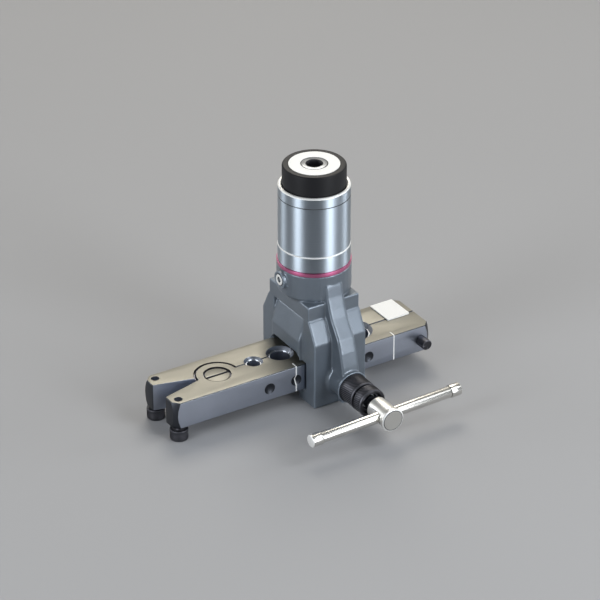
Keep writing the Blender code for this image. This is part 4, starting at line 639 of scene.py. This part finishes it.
class FLARING_OT_die_bar(bpy.types.Operator):
    """Machine the two die halves, with the grooves round the pivot, the lands and the index lines."""

    bl_idname = "flaring.die_bar"
    bl_label = "Die bar"

    def execute(self, context):
        edge = context.scene.flaring_sizes.machined_edge
        head_radius = upright("pivot_pin")[0]
        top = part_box("die_front")[1].z
        # Inner and outer radius of the groove that each half has round the pivot
        grooves = {
            "die_front": (head_radius, head_radius + 0.9 * MM),
            "die_back": (9.8 * MM, 11.1 * MM),
        }
        halves = {}
        for node, (inner, outer) in grooves.items():
            piece = dressed(
                node + "_half", node, "phosphated_steel", node, edge, crease=BAR_CREASE, bright_edges=True
            )
            self.groove(piece, inner, outer, top)
            self.lands(piece, top)
            self.finish_faces(piece, node, top)
            halves[node] = piece.data
        self.index_lines(halves["die_front"], top)
        finish_nodes({"locating_dowel": "ground_steel"})
        return {"FINISHED"}

    def groove(self, piece, inner, outer, top):
        """Cut the groove that opens the joint round the pivot at the bar's top; its faces are black, as
        painted shade in the groove.
        """
        depth, slope = 0.9 * MM, 0.15 * MM
        mesh = turned_mesh("groove_tool", [
            (outer, top + MM), (outer - slope, top - depth), (inner, top - depth), (inner, top + MM),
        ], 96)
        mesh.transform(Matrix.Translation((PIVOT.x, PIVOT.y, 0)))
        mesh.materials.append(MATERIALS["black_oxide_steel"])
        self.cut(piece, mesh)

    def cut(self, piece, mesh):
        """Cut a tool's shape out of a piece, which takes the tool's finish there."""
        tool = bpy.data.objects.new(mesh.name, mesh)
        bpy.context.scene.collection.objects.link(tool)
        cut = piece.modifiers.new("Cut", "BOOLEAN")
        cut.operation = "DIFFERENCE"
        cut.solver = "EXACT"
        cut.material_mode = "TRANSFER"
        cut.object = tool
        applied(piece)
        bpy.data.objects.remove(tool)
        bpy.data.meshes.remove(mesh)
        piece.data.set_sharp_from_angle(angle=math.radians(BAR_CREASE))

    def lands(self, piece, top):
        """Cut a narrow flat land at the foot of each flare seat, in the bright edge finish, so that it
        shows as a bright ring of painted highlight.
        """
        width = 0.45 * MM
        for place, tube, flare in DIE_HOLES:
            edge, seat = tube / 2 + width, top - (flare - tube) / 2
            mesh = turned_mesh("land_tool", [
                (0, top + MM), (edge, top + MM), (edge, seat), (0, seat),
            ], 64)
            mesh.transform(Matrix.Translation((SPINDLE.x + place, SPINDLE.y, 0)))
            mesh.materials.append(MATERIALS["bare_edge_and_highlight"])
            self.cut(piece, mesh)

    def finish_faces(self, piece, node, top):
        """Give the top its ground finish, whose warm tone stands in for a reflection, and paint shade on
        the end chamfers, the dimples and the joint's crease.
        """
        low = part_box(node)[0]
        ground, chamfer, joint = 0.1 * MM, 3.6 * MM, 0.6 * MM
        mouth, floor = low.y + 0.02 * MM, low.y + 1.75 * MM
        recoat(piece, "ground_top_warm_reflection", lambda middle, normal: normal.z > 0.98 and middle.z > top - ground)

        def dark(middle, normal):
            at_end = middle.x - low.x < chamfer and normal.x < -0.3
            at_joint = abs(middle.y - SPINDLE.y) < joint and normal.z > 0.3 and abs(normal.y) > 0.2
            in_dimple = mouth < middle.y < floor and abs(normal.z) < 0.9 and normal.y > -0.93
            return at_end or at_joint or (node == "die_front" and in_dimple)

        recoat(piece, "phosphate_painted_shade", dark)

    def index_lines(self, half, top):
        """Paint the two white lines that show where the yoke stands, from the top down the front face.

        Each is a thin film that follows the skin, also where that sinks into a dimple.
        """
        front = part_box("die_front")[0].y
        skin = BVHTree.FromPolygons(
            [vertex.co for vertex in half.vertices], [face.vertices for face in half.polygons]
        )
        width, film = 0.55 * MM, 0.04 * MM
        back, reach, start, step = 3.5 * MM, 13.4 * MM, 0.02 * MM, 0.2 * MM
        left_place, right_place = -18.7 * MM, 35.4 * MM
        for number, place in enumerate((left_place, right_place), 1):
            sides = [SPINDLE.x + place + share * width for share in (-0.5, 0.5)]
            rows = [(Vector((0, 0, film)), [Vector((x, front + back, top)) for x in sides])]
            for i in range(round(reach / step) + 1):
                height = top - start - i * step
                cover = Vector((0, -film, film if i == 0 else 0))
                rows.append((cover, [
                    skin.ray_cast(Vector((x, front - MM, height)), Vector((0, 1, 0)))[0] for x in sides
                ]))
            shape = bmesh.new()
            rings = [
                [shape.verts.new(point) for point in (left, left + cover, right + cover, right)]
                for cover, (left, right) in rows
            ]
            for upper, lower in zip(rings, rings[1:]):
                join_rows(shape, upper, lower, 4)
            shape.faces.new(rings[0])
            shape.faces.new(rings[-1])
            bmesh.ops.recalc_face_normals(shape, faces=shape.faces)
            name = f"index_line_{number}"
            add_piece(name, finished_mesh(name, shape), "label_film", "die_front")


class FLARING_OT_bar_fittings(bpy.types.Operator):
    """Turn the pivot pin, the two knurled feet and the stop pin of the die bar."""

    bl_idname = "flaring.bar_fittings"
    bl_label = "Bar fittings"

    def execute(self, context):
        sizes = context.scene.flaring_sizes
        pin = dressed(
            "pivot_screw", "pivot_pin", "phosphated_steel", "die_front", 0.18 * MM, finish="ground_top_warm_reflection"
        )
        pin_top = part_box("pivot_pin")[1].z
        # The slot and the head's sides are painted black as shade; the head's top takes the bar top's warm
        # tone
        recoat(pin, "black_oxide_steel", lambda middle, normal: (
            middle.z < pin_top - 0.05 * MM or abs(normal.z) < 0.3
        ))
        for node, body in (("foot_front", "die_front"), ("foot_back", "die_back")):
            self.foot(sizes, node, body)
        low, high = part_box("stop_pin")
        radius = (high.z - low.z) / 2
        middle = (low + high) / 2
        length = high.y - low.y
        spigot, spigot_radius = 6.3 * MM, 1.6 * MM
        mesh = turned_mesh("stop_peg", [
            (0, length),
            (radius, length, 0.6 * MM),
            (radius, spigot, 0.1 * MM),
            (spigot_radius, spigot),
            (spigot_radius, 0),
            (0, 0),
        ], sizes.segments // 2)
        place = facing((0, -1, 0), (middle.x, high.y, middle.z))
        add_piece("stop_peg", mesh, "black_oxide_steel", "die_front", ("stop_pin",), place)
        return {"FINISHED"}

    def foot(self, sizes, node, body):
        """Turn one foot: knurled head, neck and stem."""
        low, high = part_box(node)
        middle = (low + high) / 2
        radius, top = (high.x - low.x) / 2, high.z
        head, shoulder = 5.4 * MM, 6.7 * MM
        neck_radius, stem_radius = 3.3 * MM, 1.9 * MM
        knurl = (head - 0.7 * MM, 1.2 * MM, sizes.knurl_pitch, sizes.knurl_depth)
        mesh = turned_mesh(node + "_knurled", [
            (0, top),
            (stem_radius, top),
            (stem_radius, shoulder),
            (neck_radius, shoulder),
            (neck_radius, head),
            (radius - 0.1 * MM, head, 0.35 * MM),
            (radius, head - 0.45 * MM),
            (radius, 0.9 * MM),
            (radius - 0.1 * MM, 0, 0.5 * MM),
            (0, 0),
        ], knurl_segments(radius, sizes), knurl)
        place = Matrix.Translation((middle.x, middle.y, 0))
        add_piece(node + "_knurled", mesh, "black_oxide_steel", body, (node,), place, crease=50)


class FLARING_OT_labels(bpy.types.Operator):
    """Lay the two blank labels: the plate on the die bar and the ring on the knob."""

    bl_idname = "flaring.labels"
    bl_label = "Blank labels"

    def execute(self, context):
        segments = context.scene.flaring_sizes.segments
        low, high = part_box("bar_label")
        shape = bmesh.new()
        bmesh.ops.create_cube(
            shape, size=1, matrix=Matrix.Translation((low + high) / 2) @ Matrix.Diagonal((*(high - low), 1))
        )
        upright_edges = [e for e in shape.edges if abs(e.verts[0].co.z - e.verts[1].co.z) > NEAR]
        bmesh.ops.bevel(
            shape, geom=upright_edges, offset=0.5 * MM, segments=4, profile=0.5, affect="EDGES"
        )
        add_piece("bar_plate", finished_mesh("bar_plate", shape), "label_film", "die_back", ("bar_label",))
        radius, bottom, top = upright("knob_label")
        hole = 6.4 * MM
        mesh = turned_mesh("knob_ring_label", [
            (radius, top, 0.05 * MM), (radius, bottom), (hole, bottom), (hole, top, 0.05 * MM),
        ], segments)
        add_piece("knob_ring_label", mesh, "label_film", "spindle", ("knob_label",), on_spindle())
        return {"FINISHED"}


class FLARING_OT_sleeves(bpy.types.Operator):
    """Turn the marking ring, the lower sleeve, and the upper sleeve with the groove round it."""

    bl_idname = "flaring.sleeves"
    bl_label = "Sleeves"

    def execute(self, context):
        segments = context.scene.flaring_sizes.segments
        inside = 13 * MM
        radius, bottom, top = upright("mark_ring")
        mesh = turned_mesh("rose_ring", [
            (radius, top, 0.3 * MM), (radius, bottom, 0.3 * MM), (inside, bottom), (inside, top),
        ], segments)
        add_piece("rose_ring", mesh, "rose_anodised_ring", "yoke", ("mark_ring",), on_spindle())
        radius, bottom, top = upright("sleeve_base")
        mesh = turned_mesh("lower_sleeve", [
            (radius - 0.6 * MM, top),
            (radius, top - 0.5 * MM, 0.1 * MM),
            (radius, bottom, 0.2 * MM),
            (inside, bottom),
            (inside, top),
        ], segments)
        lower = add_piece("lower_sleeve", mesh, "satin_aluminium", "yoke", ("sleeve_base",), on_spindle())
        self.paint_rim_highlight(lower, top)
        radius, bottom, top = upright("sleeve")
        line, groove = 99.5 * MM, radius - 0.25 * MM
        bore, ledge = 15.35 * MM, bottom + 2.4 * MM
        mesh = turned_mesh("upper_sleeve", [
            (radius - 0.6 * MM, top, 0.15 * MM),
            (radius, top - 0.6 * MM, 0.2 * MM),
            (radius, line + 0.22 * MM),
            (groove, line + 0.12 * MM),
            (groove, line - 0.12 * MM),
            (radius, line - 0.22 * MM),
            (radius, bottom, 0.35 * MM),
            (inside, bottom),
            (inside, ledge),
            (bore, ledge, 0.5 * MM),
            (bore, top, 0.15 * MM),
        ], segments)
        upper = add_piece("upper_sleeve", mesh, "satin_aluminium", "sleeve", ("sleeve",), on_spindle())
        self.paint_rim_highlight(upper, top)
        # The groove's faces are darker, as painted shade in the groove
        recoat(upper, "spring_steel", lambda middle, normal: abs(middle.z - line) < 0.2 * MM)
        return {"FINISHED"}

    def paint_rim_highlight(self, sleeve, top):
        """Paint a sleeve's top chamfer near-white, as a painted highlight along the rim."""
        recoat(sleeve, "painted_highlight_rim", lambda middle, normal: normal.z > 0.3 and middle.z > top - MM)


class FLARING_OT_knob(bpy.types.Operator):
    """Mould the knob, make its hub with the hexagon socket, and finish the seal and clutch inside."""

    bl_idname = "flaring.knob"
    bl_label = "Knob"

    def execute(self, context):
        segments = context.scene.flaring_sizes.segments
        radius, bottom, top = upright("knob")
        label_room, label_floor = 12.1 * MM, top - 0.25 * MM
        hub_room, ceiling = 6.1 * MM, top - 8 * MM
        groove, groove_top, groove_foot = radius - 0.7 * MM, bottom + 3.7 * MM, bottom + 1.9 * MM
        wall = radius - 2.2 * MM
        mesh = turned_mesh("knob_cup", [
            (label_room, top, 0.1 * MM),
            (radius, top, 1.7 * MM),
            (radius, groove_top),
            (groove, groove_top),
            (groove, groove_foot),
            (radius, groove_foot),
            (radius, bottom, 0.3 * MM),
            (wall, bottom),
            (wall, ceiling, 0.5 * MM),
            (hub_room, ceiling),
            (hub_room, label_floor),
            (label_room, label_floor),
        ], segments)
        add_piece("knob_cup", mesh, "black_polymer", "spindle", ("knob",), on_spindle())
        hub = dressed("hex_hub", "drive_hub", "hardened_steel", "spindle", 0.1 * MM, crease=28)
        hub_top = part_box("drive_hub")[1].z
        # All faces below the hub's top, the socket's walls among them, are painted black: painted shade in
        # the socket
        recoat(hub, "black_oxide_steel", lambda middle, normal: middle.z < hub_top - 0.15 * MM)
        finish_nodes({
            "knob_seal": "black_rubber",
            "clutch_driven_plate": "hardened_steel",
            "clutch_driving_plate": "hardened_steel",
            "clutch_spring": "spring_steel",
        })
        return {"FINISHED"}


class FLARING_OT_feed(bpy.types.Operator):
    """Finish the feed screw, its nut and the socket screw that holds the nut."""

    bl_idname = "flaring.feed"
    bl_label = "Feed screw"

    def execute(self, context):
        finish_nodes({"spindle": "hardened_steel", "feed_nut": "bronze"})
        screw = dressed("nut_socket_screw", "nut_screw", "ground_steel", "yoke", 0.15 * MM, crease=28)
        low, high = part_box("nut_screw")
        outward = (low + high) / 2 - SPINDLE
        outward.z = 0
        outward.normalize()
        # The screw's outer face is painted near-white, as a highlight
        recoat(screw, "painted_highlight_rim", lambda middle, normal: normal.dot(outward) > 0.9)
        return {"FINISHED"}


class FLARING_OT_cone(bpy.types.Operator):
    """Turn the flaring cone, and finish its ball, bush, retainer and eccentric holder."""

    bl_idname = "flaring.cone"
    bl_label = "Flaring cone"

    def execute(self, context):
        segments = context.scene.flaring_sizes.segments
        radius, tip, top = upright("flaring_cone")
        shoulder = tip + radius - 0.5 * MM
        collar, shank = shoulder + 1.5 * MM, 4 * MM
        mesh = turned_mesh("cone_tool", [
            (0, top),
            (shank, top, 0.3 * MM),
            (shank, collar),
            (radius, collar, 0.25 * MM),
            (radius, shoulder, 0.2 * MM),
            (0.55 * MM, tip + 0.05 * MM, 0.3 * MM),
            (0, tip),
        ], segments)
        place = Matrix.Translation((CONE_AXIS.x, CONE_AXIS.y, 0))
        add_piece("cone_tool", mesh, "hardened_steel", "cone", ("flaring_cone",), place)
        finish_nodes({"thrust_ball": "ground_steel", "cone_bush": "bronze"})
        dressed("eccentric_holder", "cone_holder", "black_oxide_steel", "spindle", 0.3 * MM)
        dressed("cone_keeper", "cone_retainer", "black_oxide_steel", "spindle", 0.1 * MM)
        return {"FINISHED"}


class FLARING_OT_clamp_collar(bpy.types.Operator):
    """Turn and knurl the clamp's bush and its lock ring."""

    bl_idname = "flaring.clamp_collar"
    bl_label = "Clamp collar"

    def execute(self, context):
        sizes = context.scene.flaring_sizes
        bore, shank, lip, recess = 4.1 * MM, 5.6 * MM, 6 * MM, 5.5 * MM
        radius, near, far = forward("clamp_bush")
        body = far - 1.0 * MM
        seat = near + 8.5 * MM
        segments = knurl_segments(radius, sizes)
        knurl = (body - 0.8 * MM, seat + 0.8 * MM, sizes.knurl_pitch, sizes.knurl_depth)
        mesh = turned_mesh("knurled_bush", [
            (lip, far),
            (lip, body),
            (radius - 0.45 * MM, body, 0.1 * MM),
            (radius, body - 0.45 * MM),
            (radius, seat + 0.4 * MM),
            (radius - 0.35 * MM, seat),
            (shank, seat),
            (shank, near),
            (bore, near),
            (bore, far),
        ], segments, knurl)
        add_piece("knurled_bush", mesh, "black_oxide_steel", "yoke", ("clamp_bush",), on_clamp(), crease=50)
        radius, near, far = forward("clamp_lock_ring")
        recess_floor = far - 2.4 * MM
        knurl = (far - 0.9 * MM, near + 0.7 * MM, sizes.knurl_pitch, sizes.knurl_depth)
        mesh = turned_mesh("knurled_lock_ring", [
            (radius - 0.5 * MM, far, 0.15 * MM),
            (radius, far - 0.55 * MM),
            (radius, near + 0.5 * MM),
            (radius - 0.45 * MM, near, 0.1 * MM),
            (bore, near),
            (bore, recess_floor),
            (recess, recess_floor),
            (recess, far, 0.2 * MM),
        ], segments, knurl)
        add_piece(
            "knurled_lock_ring", mesh, "black_oxide_steel", "yoke", ("clamp_lock_ring",), on_clamp(),
            crease=50,
        )
        return {"FINISHED"}


class FLARING_OT_clamp_screw(bpy.types.Operator):
    """Turn the clamp screw with its thread, and its swivel tip."""

    bl_idname = "flaring.clamp_screw"
    bl_label = "Clamp screw"

    def execute(self, context):
        sizes = context.scene.flaring_sizes
        segments = sizes.segments // 2
        near, far = forward("clamp_screw")[1:]
        root, head = near + 1.6 * MM, 47 * MM
        neck_radius, core_radius, nose_radius = 3.1 * MM, 3.35 * MM, 1.8 * MM
        mesh = turned_mesh("clamp_stem", [
            (0, far),
            (neck_radius, far, 0.2 * MM),
            (neck_radius, head),
            (core_radius, head),
            (core_radius, root),
            (nose_radius, root),
            (nose_radius, near, 0.3 * MM),
            (0, near),
        ], segments)
        add_piece("clamp_stem", mesh, "ground_steel", "handle", ("clamp_screw",), on_clamp())
        self.thread(sizes, root + 0.4 * MM, head - 0.4 * MM)
        radius, near, far = forward("clamp_tip")
        socket_radius, socket_floor = 1.9 * MM, far - 1.9 * MM
        nose_radius, nose_length = 1.4 * MM, 2.2 * MM
        mesh = turned_mesh("swivel_tip", [
            (radius, far, 0.3 * MM),
            (radius, near + nose_length, 0.4 * MM),
            (nose_radius, near, 0.4 * MM),
            (0, near),
            (0, socket_floor),
            (socket_radius, socket_floor),
            (socket_radius, far),
        ], segments)
        add_piece("swivel_tip", mesh, "ground_steel", "clamp_tip", ("clamp_tip",), on_clamp())
        return {"FINISHED"}

    def thread(self, sizes, start, end):
        """Wind the thread's ridge round the stem, fading over half a turn at both ends."""
        steps = 32
        pitch = sizes.thread_pitch
        turns = (end - start - pitch) / pitch
        count = round(turns * steps)
        crest, root, buried = 3.95 * MM, 3.3 * MM, 0.15 * MM
        foot, flat = 0.46 * pitch, 0.08 * pitch
        shape = bmesh.new()
        rows = []
        for step in range(count + 1):
            angle = 2 * math.pi * step / steps
            height = start + pitch / 2 + pitch * step / steps
            fade = min(1, step / (steps / 2), (count - step) / (steps / 2))
            top = root + (crest - root) * max(fade, 0.02)
            section = [
                (root, height - foot), (top, height - flat), (top, height + flat), (root, height + foot),
                (root - buried, height),
            ]
            rows.append([
                shape.verts.new((radius * math.cos(angle), radius * math.sin(angle), z))
                for radius, z in section
            ])
        for first, second in zip(rows, rows[1:]):
            for i in range(len(first)):
                j = (i + 1) % len(first)
                shape.faces.new((first[i], first[j], second[j], second[i]))
        shape.faces.new(rows[0])
        shape.faces.new(list(reversed(rows[-1])))
        bmesh.ops.recalc_face_normals(shape, faces=shape.faces)
        mesh = finished_mesh("clamp_thread", shape)
        add_piece("clamp_thread", mesh, "ground_steel", "handle", (), on_clamp(), crease=25)


class FLARING_OT_handle(bpy.types.Operator):
    """Make the handle: the hub, the sliding bar and its two end caps."""

    bl_idname = "flaring.handle"
    bl_label = "Handle"

    def execute(self, context):
        segments = context.scene.flaring_sizes.segments // 2
        # The hub is a lighter copy of the nickel: a painted sheen on its bright side
        hub = dressed(
            "handle_hub", "clamp_hub", "nickel_plate", "handle", 0.35 * MM, crease=28,
            finish="nickel_painted_sheen",
        )
        hub_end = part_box("clamp_hub")[0].y
        # The hub's outer rim is painted near-white, as a highlight
        recoat(hub, "painted_highlight_rim", lambda middle, normal: (
            middle.y < hub_end + 0.4 * MM and normal.y < -0.2
        ))
        self.end_disc(segments)
        low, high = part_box("tbar")
        middle = (low + high) / 2
        half = self.half_length("tbar", middle)
        cap_far = self.half_length("tbar_cap_right", middle)
        shoulder = cap_far - 5.6 * MM
        bar_radius, pin_radius, cap_radius, cap_bore = 2.7 * MM, 1.6 * MM, 3.1 * MM, 1.7 * MM
        mesh = turned_mesh("sliding_bar", [
            (0, half),
            (pin_radius, half),
            (pin_radius, shoulder),
            (bar_radius, shoulder, 0.15 * MM),
            (bar_radius, -shoulder, 0.15 * MM),
            (pin_radius, -shoulder),
            (pin_radius, -half),
            (0, -half),
        ], segments)
        add_piece("sliding_bar", mesh, "nickel_plate", "tbar", ("tbar",), facing(TBAR_AXIS, middle))
        gap = 0.1 * MM
        for node, direction in (("tbar_cap_right", 1), ("tbar_cap_left", -1)):
            mesh = turned_mesh(node + "_turned", [
                (0, cap_far),
                (cap_radius, cap_far, 0.8 * MM),
                (cap_radius, shoulder + gap, 0.35 * MM),
                (cap_bore, shoulder + gap),
                (cap_bore, half + gap),
                (0, half + gap),
            ], segments)
            outward = TBAR_AXIS * direction
            place = facing(outward, middle)
            cap = add_piece(node + "_turned", mesh, "nickel_plate", "tbar", (node,), place)
            # The caps' ends are painted near-white, as a highlight
            recoat(cap, "painted_highlight_rim", lambda middle, normal: normal.dot(outward) > 0.3)
        return {"FINISHED"}

    def end_disc(self, segments):
        """Face the hub's outer end: a satin disc with a line of painted shade round it, inside the hub's
        rim.
        """
        radius, _, far = forward("clamp_hub")
        disc = radius - 0.75 * MM
        face, foot = far + 0.02 * MM, far - 0.1 * MM
        mesh = turned_mesh("hub_end_disc", [
            (0, face), (disc - 0.3 * MM, face), (disc, face), (disc, foot), (0, foot),
        ], segments)
        piece = add_piece(
            "hub_end_disc", mesh, "nickel_plate", "handle", (), on_clamp(), finish="satin_face"
        )
        recoat(piece, "phosphate_painted_shade", lambda middle, normal: (
            math.hypot(middle.x - CLAMP.x, middle.z - CLAMP.z) > disc - 0.35 * MM
        ))

    def half_length(self, node, middle):
        """Measure how far a node reaches from the bar's middle along its axis."""
        return max(abs((vertex.co - middle).dot(TBAR_AXIS)) for vertex in NODES[node].data.vertices)


class FLARING_OT_stage(bpy.types.Operator):
    """Lay the grey floor, hang the soft lights and stand the camera."""

    bl_idname = "flaring.stage"
    bl_label = "Studio"

    def execute(self, context):
        self.floor(context)
        self.lights(context)
        self.camera(context)
        context.scene.view_settings.view_transform = "Standard"
        return {"FINISHED"}

    def floor(self, context):
        """Lay one plain floor."""
        colour = context.scene.flaring_colours.floor
        material, tree, shader, place = start_material("painted_studio_floor", colour, 0.0, 0.75)
        cloud = add_node(tree, "ShaderNodeTexNoise", {"Vector": place, "Scale": 3.0, "Detail": 2.0})
        shades = add_node(tree, "ShaderNodeMix", {
            "Factor": cloud.outputs["Fac"], "A": tint(colour, 0.97), "B": tint(colour, 1.03),
        }, data_type="RGBA")
        tree.links.new(shades.outputs["Result"], shader.inputs["Base Color"])
        shape = bmesh.new()
        bmesh.ops.create_grid(shape, x_segments=8, y_segments=8, size=4.0)
        mesh = finished_mesh("studio_floor", shape)
        mesh.materials.append(material)
        floor = bpy.data.objects.new("studio_floor", mesh)
        floor.location.z = -0.02 * MM
        context.scene.collection.objects.link(floor)

    def lights(self, context):
        """Hang softboxes on both sides of the tool and behind it, and light the room."""
        world = bpy.data.worlds.new("studio_world")
        world.use_nodes = True
        tree = world.node_tree
        # The room is brighter beyond the tool than on the camera's side
        direction = add_node(tree, "ShaderNodeTexCoord").outputs["Generated"]
        away = add_node(tree, "ShaderNodeVectorMath", {
            "Vector": direction, "Vector_001": (0.53, 0.85, 0.0),
        }, operation="DOT_PRODUCT")
        share = add_node(tree, "ShaderNodeMapRange", {
            "Value": away.outputs["Value"], "From Min": -0.5, "From Max": 0.7,
        }, interpolation_type="SMOOTHSTEP")
        near_side, far_side = (0.085, 0.092, 0.10, 1), (0.34, 0.335, 0.315, 1)
        room = add_node(tree, "ShaderNodeMix", {
            "Factor": share.outputs["Result"], "A": near_side, "B": far_side,
        }, data_type="RGBA")
        tree.links.new(room.outputs["Result"], tree.nodes["Background"].inputs["Color"])
        context.scene.world = world
        focus = Vector((SPINDLE.x, SPINDLE.y, 0.05))
        cool, warm = (0.92, 0.96, 1.0), (1.0, 0.95, 0.86)
        # Degrees round and up, then distance, width and height in metres, and watts
        boxes = (
            ("left_softbox", -82, 18, 0.9, 0.32, 0.7, 4.6, cool),
            ("right_softbox", 17, 18, 0.9, 0.34, 0.7, 5.4, cool),
            ("left_rim_light", -137, 14, 1.0, 0.24, 0.5, 1.6, cool),
            ("right_rim_light", 73, 14, 1.0, 0.24, 0.5, 2.0, cool),
            ("edge_softbox", 47, 49, 1.0, 0.35, 0.45, 1.6, cool),
            ("key_softbox", 152, 52, 1.1, 0.55, 0.55, 5.2, warm),
            ("back_softbox", 150, 31, 1.3, 1.5, 0.8, 1.6, warm),
        )
        for name, azimuth, elevation, distance, width, height, power, colour in boxes:
            lamp = bpy.data.lights.new(name, "AREA")
            lamp.shape = "RECTANGLE"
            lamp.size = width
            lamp.size_y = height
            lamp.energy = power
            lamp.color = colour
            light = bpy.data.objects.new(name, lamp)
            back = towards(azimuth, elevation)
            light.location = focus + back * distance
            light.rotation_mode = "QUATERNION"
            light.rotation_quaternion = back.to_track_quat("Z", "Y")
            context.scene.collection.objects.link(light)

    def camera(self, context):
        """Stand the camera where the photographer stood."""
        azimuth, elevation, distance = -31.90, 29.69, 1382.9 * MM
        height, shift = 43.23 * MM, 6.454 * MM
        side = Vector((math.cos(math.radians(azimuth)), math.sin(math.radians(azimuth)), 0))
        back = towards(azimuth, elevation)
        target = Vector((SPINDLE.x, SPINDLE.y, height)) - side * shift
        camera = bpy.data.objects.new("studio_camera", bpy.data.cameras.new("studio_camera"))
        camera.data.sensor_width = 36
        camera.data.lens = 178.75
        camera.data.clip_start = 0.05
        camera.data.clip_end = 20
        camera.location = target + back * distance
        camera.rotation_mode = "QUATERNION"
        camera.rotation_quaternion = Matrix((side, back.cross(side), back)).transposed().to_quaternion()
        context.scene.collection.objects.link(camera)
        context.scene.camera = camera


OPERATORS = (
    FLARING_OT_yoke,
    FLARING_OT_die_bar,
    FLARING_OT_bar_fittings,
    FLARING_OT_labels,
    FLARING_OT_sleeves,
    FLARING_OT_knob,
    FLARING_OT_feed,
    FLARING_OT_cone,
    FLARING_OT_clamp_collar,
    FLARING_OT_clamp_screw,
    FLARING_OT_handle,
    FLARING_OT_stage,
)


class FLARING_PT_panel(bpy.types.Panel):
    """List the tool's pieces, sizes and colours in the sidebar."""

    bl_label = "Flaring Tool"
    bl_idname = "FLARING_PT_panel"
    bl_space_type = "VIEW_3D"
    bl_region_type = "UI"
    bl_category = "Flaring Tool"

    def draw(self, context):
        layout = self.layout
        for group in (context.scene.flaring_sizes, context.scene.flaring_colours):
            for name in group.__annotations__:
                layout.prop(group, name)
        for operator in OPERATORS:
            layout.operator(operator.bl_idname)


CLASSES = (FlaringToolSizes, FlaringToolColours, *OPERATORS, FLARING_PT_panel)


def register():
    """Register the classes and hang the settings on the scene."""
    for item in CLASSES:
        bpy.utils.register_class(item)
    bpy.types.Scene.flaring_sizes = bpy.props.PointerProperty(type=FlaringToolSizes)
    bpy.types.Scene.flaring_colours = bpy.props.PointerProperty(type=FlaringToolColours)


def unregister():
    """Take the settings off the scene and unregister the classes."""
    del bpy.types.Scene.flaring_colours
    del bpy.types.Scene.flaring_sizes
    for item in reversed(CLASSES):
        bpy.utils.unregister_class(item)


def main():
    """Build the whole tool and its studio."""
    register()
    make_materials(bpy.context.scene.flaring_colours)
    bpy.ops.flaring.yoke()
    bpy.ops.flaring.die_bar()
    bpy.ops.flaring.bar_fittings()
    bpy.ops.flaring.labels()
    bpy.ops.flaring.sleeves()
    bpy.ops.flaring.knob()
    bpy.ops.flaring.feed()
    bpy.ops.flaring.cone()
    bpy.ops.flaring.clamp_collar()
    bpy.ops.flaring.clamp_screw()
    bpy.ops.flaring.handle()
    bpy.ops.flaring.stage()


if __name__ == "__main__":
    main()
